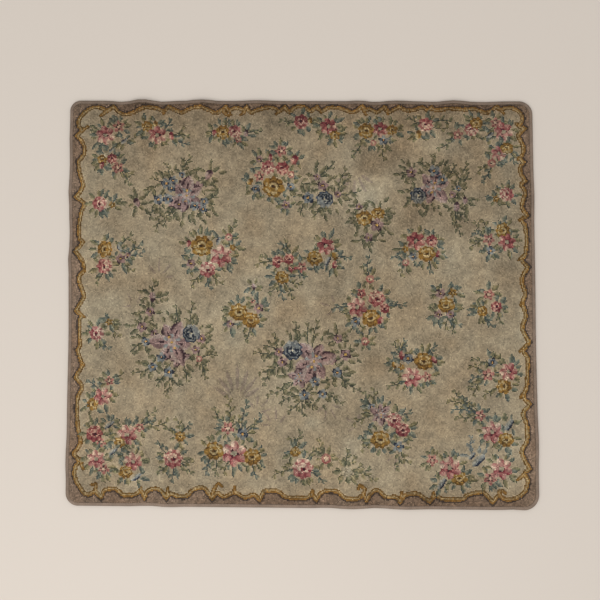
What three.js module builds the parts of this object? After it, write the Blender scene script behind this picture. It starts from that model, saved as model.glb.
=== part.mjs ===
// A pile rug that lies flat: one woven carpet, and the tape that is folded over its raw edge and sewn down.
// Millimetres, +Z up. The rug rests on Z = 0 with its width along X, its near edge at -Y and its far edge at +Y.
import * as THREE from "three";

// Driving dimensions
const RUG_WIDTH = 1870; // along X, over the binding
const RUG_DEPTH = 1629; // along Y, over the binding
const SKEW = -0.0094; // the rug is a little out of square: its far edge lies further to the left
const CARPET_THICKNESS = 10; // ground weave and pile together
const TAPE_THICKNESS = 2;
const TAPE_ON_TOP = 12; // how far the tape reaches in over the pile-free edge
const TAPE_BELOW = 12; // how far it reaches in underneath
const SELVEDGE_THICKNESS = 3.7; // the bare ground weave that the tape grips
const FOLD_ROUNDING = 1.2; // at the two outer folds of the tape
const GAP = 0.3; // between the tape and the carpet

const WAVE_DEPTH = 130; // waves in the edge fade out over this distance from it
const SMALLEST_RADIUS = 4; // of a corner, far inside the edge
const ARC_STEPS = 6;

// The sides, counter-clockwise from the near one, each followed by the corner at its end.
// axis runs along the side, out points away from the rug, and steps are the points of a straight stretch.
const SIDES = [
  { name: "near", axis: [1, 0], out: [0, -1], length: RUG_WIDTH, across: RUG_DEPTH, steps: 42, corner: 60 },
  { name: "right", axis: [0, 1], out: [1, 0], length: RUG_DEPTH, across: RUG_WIDTH, steps: 28, corner: 53 },
  { name: "far", axis: [-1, 0], out: [0, 1], length: RUG_WIDTH, across: RUG_DEPTH, steps: 54, corner: 43 },
  { name: "left", axis: [0, -1], out: [-1, 0], length: RUG_DEPTH, across: RUG_WIDTH, steps: 28, corner: 50 },
];

// Waves in the edge: at is measured along the side from its middle, in the side's own direction.
// half is half of the wave's length, reach is how far the edge moves outwards, and lift how far it rises.
const WAVES = [
  { side: "far", at: 719, half: 70, reach: -4.5, lift: 0 },
  { side: "far", at: 642, half: 80, reach: 5, lift: 7 },
  { side: "far", at: 560, half: 65, reach: -3.5, lift: 0 },
  { side: "far", at: 400, half: 80, reach: 4.8, lift: 6 },
  { side: "far", at: 170, half: 100, reach: 2.4, lift: 3 },
  { side: "far", at: -240, half: 45, reach: 2, lift: 3 },
  { side: "far", at: -302, half: 60, reach: -3, lift: 0 },
  { side: "far", at: -395, half: 75, reach: 2, lift: 2 },
  { side: "far", at: -540, half: 70, reach: -2.5, lift: 0 },
  { side: "far", at: -618, half: 75, reach: 2.8, lift: 5 },
  { side: "far", at: -738, half: 95, reach: -3, lift: 0 },
  { side: "near", at: -612, half: 65, reach: -2.8, lift: 0 },
  { side: "near", at: -525, half: 60, reach: 2, lift: 1 },
  { side: "near", at: 100, half: 65, reach: -1.8, lift: 0 },
  { side: "near", at: 192, half: 75, reach: 2.8, lift: 1.5 },
  { side: "near", at: 300, half: 60, reach: -3, lift: 0 },
  { side: "near", at: 415, half: 90, reach: 2.2, lift: 1.5 },
  { side: "near", at: 825, half: 50, reach: -2.5, lift: 0 },
  { side: "right", at: -550, half: 120, reach: 2.8, lift: 1 },
  { side: "right", at: -170, half: 280, reach: -1.8, lift: 0 },
  { side: "right", at: 430, half: 110, reach: 2.2, lift: 1 },
  { side: "left", at: -660, half: 100, reach: 2.2, lift: 1 },
  { side: "left", at: -445, half: 85, reach: 4, lift: 1.5 },
  { side: "left", at: -260, half: 85, reach: -2.8, lift: 0 },
  { side: "left", at: -158, half: 60, reach: 2.8, lift: 1 },
  { side: "left", at: 150, half: 290, reach: -2.6, lift: 0 },
  { side: "left", at: 640, half: 120, reach: 3.8, lift: 1 },
];

// Heights that follow from the driving dimensions
const SELVEDGE_BOTTOM = TAPE_THICKNESS + GAP;
const SELVEDGE_TOP = SELVEDGE_BOTTOM + SELVEDGE_THICKNESS;
const TAPE_TOP = SELVEDGE_TOP + GAP + TAPE_THICKNESS;
const PILE_EDGE = TAPE_ON_TOP + GAP;
const RECESS_EDGE = TAPE_BELOW + GAP;

// Section of the carpet from the middle of its underside to the middle of its pile.
// inset is the distance in from the rug's edge, and z the height over the floor.
const CARPET_SECTION = [
  { inset: WAVE_DEPTH, z: 0 },
  { inset: WAVE_DEPTH / 2, z: 0 },
  { inset: RECESS_EDGE, z: 0 },
  { inset: RECESS_EDGE, z: SELVEDGE_BOTTOM },
  { inset: TAPE_THICKNESS + GAP, z: SELVEDGE_BOTTOM },
  { inset: TAPE_THICKNESS + GAP, z: SELVEDGE_TOP },
  { inset: PILE_EDGE, z: SELVEDGE_TOP },
  { inset: PILE_EDGE, z: 0.82 * CARPET_THICKNESS },
  { inset: PILE_EDGE + 1.5, z: 0.94 * CARPET_THICKNESS },
  { inset: PILE_EDGE + 5, z: CARPET_THICKNESS },
  { inset: WAVE_DEPTH / 2, z: CARPET_THICKNESS },
  { inset: WAVE_DEPTH, z: CARPET_THICKNESS },
];

// Section of the tape, once round: underneath, up over the fold, in over the top, and back inside.
const TAPE_SECTION = [
  { inset: TAPE_BELOW, z: 0 },
  { inset: FOLD_ROUNDING, z: 0 },
  { inset: 0, z: FOLD_ROUNDING },
  { inset: 0, z: TAPE_TOP - 2 * FOLD_ROUNDING },
  { inset: 0.4 * FOLD_ROUNDING, z: TAPE_TOP - 0.6 * FOLD_ROUNDING },
  { inset: 2 * FOLD_ROUNDING, z: TAPE_TOP },
  { inset: TAPE_ON_TOP - 0.5, z: TAPE_TOP },
  { inset: TAPE_ON_TOP, z: TAPE_TOP - 0.5 },
  { inset: TAPE_ON_TOP, z: SELVEDGE_TOP + GAP },
  { inset: TAPE_THICKNESS, z: SELVEDGE_TOP + GAP },
  { inset: TAPE_THICKNESS, z: TAPE_THICKNESS },
  { inset: TAPE_BELOW, z: TAPE_THICKNESS },
];

// A hump that is 1 at 0, and falls smoothly to 0 at -1 and 1
function hump(t) {
  return Math.abs(t) < 1 ? (1 + Math.cos(Math.PI * t)) / 2 : 0;
}

// How far the waves of one side push its edge outwards and up, at a distance along it
function wavesAt(side, along) {
  const sum = { reach: 0, lift: 0 };
  for (const wave of WAVES.filter((w) => w.side === side.name)) {
    const share = hump((along - wave.at) / wave.half);
    sum.reach += wave.reach * share;
    sum.lift += wave.lift * share;
  }
  return sum;
}

// The closed ring of points at one row of a section, counter-clockwise seen from above
function ringAt({ inset, z }) {
  const points = [];
  const fade = hump(inset / WAVE_DEPTH);
  const radiusOf = (side) => Math.max(side.corner - inset, SMALLEST_RADIUS);
  SIDES.forEach((side, i) => {
    const before = SIDES[(i + SIDES.length - 1) % SIDES.length];
    const half = side.length / 2 - inset;
    const edge = side.across / 2 - inset;
    const radius = radiusOf(side);
    const from = -half + radiusOf(before);
    const to = half - radius;
    const place = (along, outwards, height) => {
      const x = side.axis[0] * along + side.out[0] * outwards;
      const y = side.axis[1] * along + side.out[1] * outwards;
      return new THREE.Vector3(x + SKEW * y, y, height);
    };
    for (let k = 0; k <= side.steps; k++) {
      const along = from + ((to - from) * k) / side.steps;
      const wave = wavesAt(side, along);
      points.push(place(along, edge + wave.reach * fade, z + wave.lift * fade));
    }
    for (let k = 1; k < ARC_STEPS; k++) {
      const turn = (Math.PI / 2) * (k / ARC_STEPS);
      points.push(place(to + radius * Math.sin(turn), edge - radius + radius * Math.cos(turn), z));
    }
  });
  return points;
}

// Joins the rings of a section into one closed surface. A closed section is a tube round the rug,
// and an open one starts and ends in a flat cap.
function loft(section, closed) {
  const rings = section.map(ringAt);
  const count = rings[0].length;
  const points = rings.flat();
  const faces = [];
  const bands = closed ? rings.length : rings.length - 1;
  for (let band = 0; band < bands; band++) {
    const a = band * count;
    const b = ((band + 1) % rings.length) * count;
    for (let k = 0; k < count; k++) {
      const next = (k + 1) % count;
      faces.push(a + k, a + next, b + next, a + k, b + next, b + k);
    }
  }
  if (!closed) {
    const last = (rings.length - 1) * count;
    const under = points.push(new THREE.Vector3(0, 0, section[0].z)) - 1;
    const over = points.push(new THREE.Vector3(0, 0, section[section.length - 1].z)) - 1;
    for (let k = 0; k < count; k++) {
      const next = (k + 1) % count;
      faces.push(under, next, k);
      faces.push(over, last + k, last + next);
    }
  }
  const geometry = new THREE.BufferGeometry().setFromPoints(points);
  geometry.setIndex(faces);
  geometry.computeVertexNormals();
  return geometry;
}

function piece(name, geometry, color) {
  const material = new THREE.MeshStandardMaterial({ color, roughness: 0.95, metalness: 0 });
  const mesh = new THREE.Mesh(geometry, material);
  mesh.name = name;
  return mesh;
}

const rug = new THREE.Group();
rug.add(piece("carpet", loft(CARPET_SECTION, false), 0x96876b));
rug.add(piece("binding", loft(TAPE_SECTION, true), 0x857467));

// The origin is under the middle of the rug's bounding box
const middle = new THREE.Box3().setFromObject(rug).getCenter(new THREE.Vector3());
for (const mesh of rug.children) mesh.position.set(-middle.x, -middle.y, 0);

export default rug;
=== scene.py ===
"""The looks of a flat pile rug: tufts woven to a chart of bouquets, a ground weave and a sewn edge."""

import math

import bpy
import numpy as np
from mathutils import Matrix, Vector


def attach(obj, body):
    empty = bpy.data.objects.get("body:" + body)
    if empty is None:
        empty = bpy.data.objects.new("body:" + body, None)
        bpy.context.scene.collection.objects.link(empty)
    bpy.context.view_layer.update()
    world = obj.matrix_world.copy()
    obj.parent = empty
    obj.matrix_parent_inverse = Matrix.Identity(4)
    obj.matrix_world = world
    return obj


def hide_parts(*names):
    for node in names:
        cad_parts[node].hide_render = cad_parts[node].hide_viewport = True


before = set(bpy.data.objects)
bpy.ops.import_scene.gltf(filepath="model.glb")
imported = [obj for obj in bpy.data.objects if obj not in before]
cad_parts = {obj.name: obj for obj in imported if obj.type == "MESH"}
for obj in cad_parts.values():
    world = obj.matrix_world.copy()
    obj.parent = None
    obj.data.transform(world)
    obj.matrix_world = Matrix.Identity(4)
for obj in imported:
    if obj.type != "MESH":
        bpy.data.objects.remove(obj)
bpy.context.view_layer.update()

# Sizes in metres, as in the CAD
GAP = 0.0003  # between the tape and the carpet
PILE_TOP = 0.010
TAPE_THICKNESS = 0.002
TAPE_ON_TOP = 0.012  # how far the tape reaches in over the edge
TAPE_BELOW = 0.012  # and how far underneath
SELVEDGE_THICKNESS = 0.0037
WAVE_DEPTH = 0.130  # waves in the edge fade out over this distance
SKEW = -0.0094  # how far the rug is out of square

# Heights, and distances in from the rim, that follow from them
SELVEDGE_BOTTOM = TAPE_THICKNESS + GAP
SELVEDGE_TOP = SELVEDGE_BOTTOM + SELVEDGE_THICKNESS
TAPE_TOP = SELVEDGE_TOP + GAP + TAPE_THICKNESS
CARPET_EDGE = TAPE_THICKNESS + GAP  # the ground weave's own edge
PILE_EDGE = TAPE_ON_TOP + GAP  # where the pile starts
RECESS_EDGE = TAPE_BELOW + GAP  # where the ground weave comes down to the floor

# Corners, counter-clockwise, with the sides on which each one lies
CORNERS = {
    "near right": dict(right=1, far=-1, radius=0.060),
    "far right": dict(right=1, far=1, radius=0.053),
    "far left": dict(right=-1, far=1, radius=0.043),
    "near left": dict(right=-1, far=-1, radius=0.050),
}
SMALLEST_RADIUS = 0.002  # of a corner, far inside the rim
CORNER_ROOM = 0.062  # the waves of a side are read this far from its ends

# The pile
TUFT = 0.0046  # pitch of the tufts
TUFT_DIP = 0.0011  # how deep the pile dips between four tufts
TUFT_LEAN = 0.13 * TUFT  # how far tufts stand out of line
TUFT_UNEVEN = 0.0003  # how far they differ in height
DIP_SHADE = 0.93  # painted shade: how much darker the wool is coloured in the dips between tufts
GROUND_TOP = 0.0045  # top of the ground weave, under the pile
GROUND_SLOPE = 0.004  # width of the slopes at the ground weave's edge
SEED = 7

# The binding
FOLD_RADIUS = 0.0021
FOLD_STEPS = 6
SEAM_INSET = 0.0092
SEAM_DIP = 0.0009  # how deep the seam sinks into the tape
SEAM_HALF_WIDTH = 0.0006
SEAM_SWELL = 0.0003  # how far the tape swells beside its seam
STITCH_PITCH = 0.0075
STITCH_LENGTH = 0.0052
STITCH_SINK = 0.0006  # how far the stitches lie below the tape's top
THREAD_RADIUS = 0.00045

# The camera, as the photograph was taken: from above, a little from the near side
CAMERA_PLACE = (0.0455, -0.1350, 3.0)
CAMERA_TURN = (0.04737, 0.01588, 0.00663)  # radians about X, Y and Z from looking straight down
CAMERA_LENS = 44.95
CAMERA_SENSOR = 36.0

# Floor and light
FLOOR = (217, 208, 199)
FLOOR_REACH = 4.0
FLOOR_DROP = 0.0002  # keeps the floor just clear of the underside
WORLD_LIGHT = 0.81
WORLD_TINT = (1.0, 0.985, 0.96, 1)
KEY_LIGHT = 50.0
KEY_PLACE = (-1.3, -2.4, 3.6)
KEY_SIZE = 2.0
KEY_TINT = (1.0, 0.98, 0.95)

# Plain colours: red, green and blue from 0 to 255
GROUND_DARK = (96, 82, 62)
GROUND_LIGHT = (164, 146, 116)
TAPE_DARK = (130, 112, 97)
TAPE_LIGHT = (162, 143, 128)
THREAD = (96, 84, 74)
NEAR_TAPE_HIGHLIGHT = 1.15  # painted highlight: the tape of the near edge is coloured paler by this factor
FAR_TAPE_SHADE = 0.8  # painted shade: the tape of the far edge is coloured darker by this one
TAPE_FADE = 0.05  # how far in from those edges the two reach
TAPE_OUTER_SHADE = 0.64  # painted shade: the tape's outer side is coloured darker, all the way round
OUTER_SHADE_FADE = 0.008  # which fades out over this width of its top

random = np.random.default_rng(SEED)


# How the rug lies: the waves of its edge, read from the CAD binding


def read_rim():
    """One row (x, y, lowest z) for each place on the outside of the CAD binding."""
    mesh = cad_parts["binding"].data
    steepest = 0.2  # upward part of the normal of a wall's face
    lowest = {}
    for face in mesh.polygons:
        outwards = face.normal.x * face.center.x + face.normal.y * face.center.y
        if abs(face.normal.z) > steepest or outwards < 0:
            continue
        for index in face.vertices:
            x, y, z = mesh.vertices[index].co
            place = (round(x, 5), round(y, 5))
            lowest[place] = min(z, lowest.get(place, 1.0))
    return np.array([(x, y, z) for (x, y), z in lowest.items()])


def read_side(along, outwards, height):
    """The waves of one side: how far its edge moves out and up, at places along it."""
    straight = (outwards > 0.9 * outwards.max()) & (np.abs(along) < np.abs(along).max() - CORNER_ROOM)
    order = np.argsort(along[straight])
    along, outwards, height = (values[straight][order] for values in (along, outwards, height))
    edge = (outwards[0] + outwards[-1]) / 2
    return dict(along=along, edge=edge, reach=outwards - edge, lift=height - height.min())


rim = read_rim()
rim_u = rim[:, 0] - SKEW * rim[:, 1]
rim_v = rim[:, 1]
SIDES = {
    "far": read_side(rim_u, rim_v, rim[:, 2]),
    "near": read_side(rim_u, -rim_v, rim[:, 2]),
    "right": read_side(rim_v, rim_u, rim[:, 2]),
    "left": read_side(rim_v, -rim_u, rim[:, 2]),
}
HALF_WIDTH = (SIDES["right"]["edge"] + SIDES["left"]["edge"]) / 2
HALF_DEPTH = (SIDES["far"]["edge"] + SIDES["near"]["edge"]) / 2
MIDDLE_X = (SIDES["right"]["edge"] - SIDES["left"]["edge"]) / 2
MIDDLE_Y = (SIDES["far"]["edge"] - SIDES["near"]["edge"]) / 2


def hump(t):
    """1 at 0, falling smoothly to 0 at -1 and 1."""
    return np.where(np.abs(t) < 1, (1 + np.cos(np.pi * t)) / 2, 0.0)


def lay(u, v):
    """Lays points of the flat, square rug as the real one lies. Gives x, y and how far each is lifted."""
    x, y, lift = u.copy(), v.copy(), np.zeros_like(u)
    for name, along, outwards, half in (
        ("far", u, v, HALF_DEPTH),
        ("near", u, -v, HALF_DEPTH),
        ("right", v, u, HALF_WIDTH),
        ("left", v, -u, HALF_WIDTH),
    ):
        side = SIDES[name]
        fade = hump((half - outwards) / WAVE_DEPTH)
        reach = np.interp(along, side["along"], side["reach"]) * fade
        lift += np.interp(along, side["along"], side["lift"]) * fade
        if name in ("far", "near"):
            y += reach if name == "far" else -reach
        else:
            x += reach if name == "right" else -reach
    return x + SKEW * y + MIDDLE_X, y + MIDDLE_Y, lift


def ring(inset, straight_steps=300, arc_steps=14):
    """A closed ring round the flat, square rug at a distance in from its rim, counter-clockwise."""
    arcs = []
    for number, corner in enumerate(CORNERS.values()):
        radius = max(corner["radius"] - inset, SMALLEST_RADIUS)
        turn = math.pi / 2 * (number - 1 + np.linspace(0, 1, arc_steps + 1))
        u = corner["right"] * (HALF_WIDTH - inset - radius) + radius * np.cos(turn)
        v = corner["far"] * (HALF_DEPTH - inset - radius) + radius * np.sin(turn)
        arcs.append(np.stack([u, v], axis=1))
    pieces = []
    for arc, following in zip(arcs, arcs[1:] + arcs[:1]):
        share = np.linspace(0, 1, straight_steps + 1)[1:-1, None]
        pieces += [arc, arc[-1] + (following[0] - arc[-1]) * share]
    return np.concatenate(pieces)


def lay_ring(inset, height, **steps):
    """A ring laid out as the rug lies, at a height over its underside."""
    flat = ring(inset, **steps)
    x, y, lift = lay(flat[:, 0], flat[:, 1])
    return np.stack([x, y, lift + height], axis=1)


def add_object(name, data):
    """An object at the origin of the scene."""
    thing = bpy.data.objects.new(name, data)
    bpy.context.scene.collection.objects.link(thing)
    return thing


def make_object(name, points, faces, material):
    """A smooth mesh object with one material."""
    mesh = bpy.data.meshes.new(name)
    mesh.from_pydata(np.asarray(points).tolist(), [], faces)
    mesh.materials.append(material)
    mesh.shade_smooth()
    return add_object(name, mesh)


def sweep(section, closed, **steps):
    """Points and faces of a section carried round the rug. An open section ends in a cap on each side."""
    rings = [lay_ring(inset, height, **steps) for inset, height in section]
    count = len(rings[0])
    here = np.arange(count)
    onward = (here + 1) % count
    faces = []
    for band in range(len(rings) if closed else len(rings) - 1):
        low = band * count
        high = (band + 1) % len(rings) * count
        faces += np.stack([low + here, low + onward, high + onward, high + here], axis=1).tolist()
    if not closed:
        faces.append(list(range(count))[::-1])
        faces.append(list(range((len(rings) - 1) * count, len(rings) * count)))
    return np.concatenate(rings), faces


# The chart that the tufts are woven to. Places on it are in centimetres from the rug's middle,
# x to the right and y towards the far edge, and a colour is red, green and blue from 0 to 255.

PILE_HALF_WIDTH = HALF_WIDTH - PILE_EDGE
PILE_HALF_DEPTH = HALF_DEPTH - PILE_EDGE
COLUMNS = round(2 * PILE_HALF_WIDTH / TUFT)
ROWS = round(2 * PILE_HALF_DEPTH / TUFT)
COLUMN_X = 100 * PILE_HALF_WIDTH * (2 * np.arange(COLUMNS) + 1 - COLUMNS) / COLUMNS
ROW_Y = 100 * PILE_HALF_DEPTH * (2 * np.arange(ROWS) + 1 - ROWS) / ROWS
CHART_X, CHART_Y = np.meshgrid(COLUMN_X, ROW_Y)
TUFT_CM = 100 * TUFT

chart = np.zeros((ROWS, COLUMNS, 3))
motif = np.zeros((ROWS, COLUMNS), dtype=bool)  # tufts that belong to a motif

FIELD = (159, 144, 119)
BORDER = (130, 109, 91)
LINE = dict(outline=(70, 59, 52), gold=(134, 100, 52), light=(160, 138, 99), inner=(102, 74, 34))


def name_parts(names, colours):
    """A row of colours, each under the name of its part."""
    return dict(zip(names, colours))


# Flower colours: the petal, its shaded rim, its light and deep parts, and the heart
FLOWER_PARTS = ("petal", "rim", "light", "deep", "heart")
DYE_ROWS = {
    "gold": [(139, 107, 55), (116, 86, 43), (172, 151, 109), (90, 66, 36), (58, 44, 34)],
    "pink": [(167, 124, 113), (144, 90, 86), (194, 168, 146), (118, 56, 60), (66, 34, 42)],
    "red": [(147, 92, 86), (126, 68, 68), (186, 148, 131), (98, 43, 50), (54, 34, 38)],
    "coral": [(160, 115, 103), (144, 89, 83), (192, 168, 142), (114, 58, 59), (60, 48, 44)],
    "mauve": [(143, 118, 112), (118, 95, 92), (160, 141, 131), (62, 45, 49), (174, 140, 78)],
    "blue": [(124, 126, 123), (93, 99, 103), (153, 148, 134), (41, 46, 58), (190, 146, 86)],
    "navy": [(110, 112, 110), (66, 72, 81), (139, 137, 128), (38, 43, 53), (188, 172, 140)],
    "pale": [(164, 152, 127), (146, 136, 114), (182, 170, 145), (128, 119, 98), (120, 112, 94)],
}
DYES = {name: name_parts(FLOWER_PARTS, row) for name, row in DYE_ROWS.items()}

# Leaf colours: the blade, its lit edge, its shaded side and the stem. A bouquet uses its rows in turn.
LEAF_PARTS = ("blade", "lit", "shade", "stem")
LEAF_ROWS = {
    "cool": [
        [(113, 110, 84), (137, 128, 100), (81, 83, 66), (72, 76, 66)],
        [(118, 110, 81), (142, 130, 99), (86, 84, 63), (77, 77, 61)],
        [(99, 103, 89), (124, 122, 104), (70, 78, 73), (62, 70, 69)],
        [(102, 106, 94), (126, 125, 109), (72, 81, 78), (64, 73, 72)],
    ],
    "olive": [
        [(112, 105, 80), (136, 125, 98), (81, 80, 61), (73, 75, 62)],
        [(102, 99, 76), (126, 118, 95), (72, 74, 59), (66, 69, 59)],
    ],
    "pale": [
        [(130, 120, 90), (148, 135, 103), (100, 97, 73), (91, 89, 70)],
        [(122, 114, 86), (143, 131, 101), (89, 88, 68), (83, 83, 66)],
        [(105, 103, 80), (128, 123, 98), (75, 78, 63), (68, 73, 64)],
    ],
    "blue": [[(121, 121, 112), (142, 136, 120), (96, 101, 98), (86, 92, 91)]],
}
LEAVES = {kind: [name_parts(LEAF_PARTS, row) for row in rows] for kind, rows in LEAF_ROWS.items()}
FAINT = name_parts(LEAF_PARTS, [(142, 126, 109), (146, 131, 113), (135, 120, 105)])

# Leaves and sprigs
SPRIG_STEP = 1.75  # between the leaves of a sprig
SPRIG_LEAF = 2.2  # length of its leaf nearest the tip
SPRIG_GROWTH = 0.25  # how much longer each of the next four leaves is
SPRIG_BEND = 0.16  # how far a stem bows out, as a share of its length
SPRIG_SPREAD = 0.75  # angle between a leaf and the stem
SPRIG_SLIMNESS = 0.235  # half of a leaf's width, as a share of its length
TIP_LEAF = dict(back=1.6, length=1.9, half_width=0.45)
LONGEST_LEAF = 4.4  # what reaches further out of a flower is a sprig
SHORTEST_LEAF = 2.2
LEAF_HALF_WIDTH = 0.85
WREATH_LEAF = 3.1  # mean length of the leaves close round the flowers
WREATH_CHANGE = 0.5  # how far they differ from it
WREATH_SLIMNESS = 0.24
WREATH_LEAN = 0.4  # how far they lean to either side
WREATH_TUCK = 0.3  # how far their feet are under the flower
WREATHS = {  # distance from the flowers, and space between the leaves
    "cool": [(0.0, 3.7)],
    "olive": [(0.0, 3.7), (2.4, 4.4)],
    "pale": [(0.0, 3.7)],
    "blue": [],
}

# Flowers beyond SIDE_X and nearer to the middle than SIDE_Y are dark towards the nearest side edge,
# others beyond FAR_Y towards the far edge, and the rest towards the near edge.
SIDE_X = 68
SIDE_Y = 45
FAR_Y = 20

# Wear of the wool, as shares of its brightness. Blotches have a size in centimetres and a strength.
STAINS = [(25, 0.04), (8, 0.07)]
SHADES = [(2.5, 0.07), (1, 0.06)]
WARMTHS = [(11, 0.015), (4, 0.01)]
SOILED_WARMTH = 0.15  # how much warmer wool is where it is darker
FIELD_GRAIN = 0.065  # how far single tufts differ
MOTIF_GRAIN = 0.11
HALO = 0.04  # tufts beside a motif are paler
BORDER_DARKENING = 0.08  # the near and far borders are darker than the side ones
DARKENING_START = 70
DARKENING_FADE = 10

# The gold line: how far out from its middle it ends, and where each band in it starts
LINE_END = 1.25
LINE_START = dict(outline=0.7, gold=0.1, light=-0.45, inner=-0.95)
LINE_ZONE = 14  # it runs this close to the rim
PEAK = 0.8  # how far its peaks point out into the border
PEAK_HALF_WIDTH = dict(outline=(1.15, 0.55), gold=(0.65, 0.7))  # at the foot, and how much less at the tip
HOOK_HALF_WIDTH = dict(inner=0.95, gold=0.58, light=0.3)
HOOK_TAPER = 0.3  # how much less at the tip

# The curves of the line between its outward peaks, clockwise from the far left corner
SCALLOPS = [
    # far edge
    [(-78.5, 77.2)],
    [
        (-75.9, 79.2), (-72.8, 76.5), (-70.4, 76), (-66.9, 76.8),
        (-63.8, 78), (-60.2, 78.6), (-57.7, 78.4), (-55.3, 77.5),
    ],
    [
        (-53.5, 79.4), (-51, 77.8), (-48, 76.7), (-44.7, 78),
        (-40.7, 78.5), (-37, 77.4), (-34.1, 76.4), (-31.7, 77.7),
    ],
    [(-30, 79.3), (-28.9, 77.5), (-26, 78.6), (-23, 77.7)],
    [(-21.7, 78.7), (-19.9, 76.7), (-16.7, 77.7), (-13.1, 78.6), (-10.6, 78.4), (-8.4, 77.3)],
    [(-6.1, 79.1), (-4.4, 76.8), (-2.9, 78.1), (-0.7, 79.4), (2.2, 78.7), (4.3, 77.4)],
    [(6.8, 79.2), (8.7, 77.3), (11.5, 78.7), (15.5, 78.7), (18.1, 77.9), (20.9, 76.9), (22.9, 77.5)],
    [(25.3, 79.4), (26.6, 77.8), (28.2, 78.4), (31, 77.2)],
    [(34.3, 79.3), (35.4, 77), (37.5, 77.6)],
    [(40, 79), (42.3, 77.8), (45.5, 77.8), (49.4, 78.9), (51.6, 77.9)],
    [
        (53.1, 79.4), (54.4, 78.1), (60, 78.2), (65.8, 77.9),
        (69.7, 78.6), (72.1, 77.9), (74.7, 77), (77.3, 77.9),
    ],
    [
        (79.3, 79.5), (80.7, 78.1), (82.3, 78.6), (84.9, 78.8),
        (87.7, 77.5), (89.3, 75.6), (89.4, 73.4), (88.2, 71.4),
    ],
    # right edge
    [(90.4, 70.4), (87.9, 67.7), (88.9, 65), (89.7, 62.7), (89.4, 59.9), (88.2, 58.3)],
    [(89.8, 56.7), (88.3, 54.2), (88.5, 52.1)],
    [(90.2, 49), (88.6, 47.4), (89.9, 44.2), (88.6, 38.8)],
    [(90.7, 35.1), (88.6, 33.3), (89.9, 30.7), (90.4, 24.9), (89.7, 19.3), (88.3, 17.3)],
    [(90.7, 14.5), (88.2, 9.3), (89.5, 3.8), (88.4, 0.1), (89.6, -5.1), (88.2, -9.9)],
    [(90.8, -15.5), (88.5, -19), (90.1, -21.7), (90.1, -24.9), (89.4, -33.6), (88.2, -37.1)],
    [(90.6, -39.9), (87.9, -43.6), (89, -47.7), (89.3, -51.8), (88.8, -54.8), (87, -59.1)],
    [
        (90.1, -65.4), (88.1, -67), (89.3, -69.8), (89.1, -70.8), (88.1, -74.1),
        (85.2, -76.5), (81.9, -77.6), (79.3, -77), (77.7, -75.9),
    ],
    # near edge
    [
        (75.3, -78.7), (73.8, -76.7), (71.9, -74.8), (68.7, -74.9),
        (65.3, -75.9), (63.2, -77.4), (55.8, -77.4), (53, -76.2),
    ],
    [(50.6, -78.5), (48.4, -77), (46, -75.5), (42.4, -75.5), (40.1, -76.7)],
    [(39, -78.6), (37.3, -76.8), (33.4, -76.9), (31.4, -75.2), (29.4, -74.3), (27.5, -75.7)],
    [
        (25.8, -78.2), (24.3, -76.2), (22.3, -77.5), (18, -77.5),
        (16.8, -76.9), (14.1, -74.9), (9.3, -74.9), (7, -76.6),
    ],
    [
        (5.9, -78.4), (4.2, -76.3), (1.8, -77.5), (-4.1, -77.5),
        (-6.5, -77), (-9.6, -74.9), (-12.6, -74.9), (-14.8, -75.3),
    ],
    [(-16.5, -78.6), (-18.9, -76.5), (-22.3, -77.6), (-26.4, -75.7), (-30.4, -77.4), (-33.2, -75.9)],
    [
        (-35.3, -78.2), (-36.9, -75.9), (-38.3, -74.3), (-40.1, -73.9),
        (-42.9, -74.9), (-45.3, -77.2), (-49.2, -77.2), (-51.8, -76.3),
    ],
    [(-53.4, -78), (-55.7, -75.3), (-58.1, -74.5), (-60.9, -75.7)],
    [
        (-62.1, -78.2), (-63.6, -75.5), (-66, -76.9), (-70.7, -77),
        (-71.5, -76.5), (-73.7, -74.7), (-75.5, -74.7), (-78, -75.4),
    ],
    [
        (-79.4, -78.2), (-81.1, -76.3), (-82.3, -76), (-84.3, -77), (-86.2, -76.4),
        (-88.3, -73.5), (-89.5, -71.3), (-90.1, -68.7), (-89.4, -65.7), (-88.4, -63.8),
    ],
    # left edge
    [
        (-90.4, -61), (-88, -57.1), (-88.3, -53.7), (-89.2, -49.5),
        (-89.5, -42.5), (-89.1, -38.1), (-87.6, -34.4),
    ],
    [(-90.3, -30.7), (-87.6, -25.8), (-88, -24.9)],
    [(-89.7, -19.8), (-88.7, -17.8), (-88.9, -15), (-89, -8.2), (-88.2, -6.2)],
    [(-90.5, -4.1), (-87.5, 1.1), (-87.5, 3.1), (-89.2, 7.6), (-89, 10.1), (-87.2, 12.3), (-88.1, 16.4)],
    [(-91, 19.8), (-88.1, 23.4), (-89.2, 24.5), (-89.7, 28.1), (-89.3, 32.3), (-88.3, 36.6), (-87.5, 39)],
    [(-90.7, 42.1), (-89.2, 43.6), (-87.9, 46.4), (-88.3, 48.4), (-89.3, 51.3), (-89.8, 53.8)],
    [(-90, 56.7), (-88.1, 58.8), (-87.5, 61.1), (-88.5, 64.4)],
    [
        (-90.6, 66.9), (-88.8, 69), (-89.9, 71.1), (-90.1, 72.6), (-89.7, 73.9),
        (-87.5, 76.7), (-84.4, 78.5), (-81.9, 78.7), (-79.8, 78),
    ],
]

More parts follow.
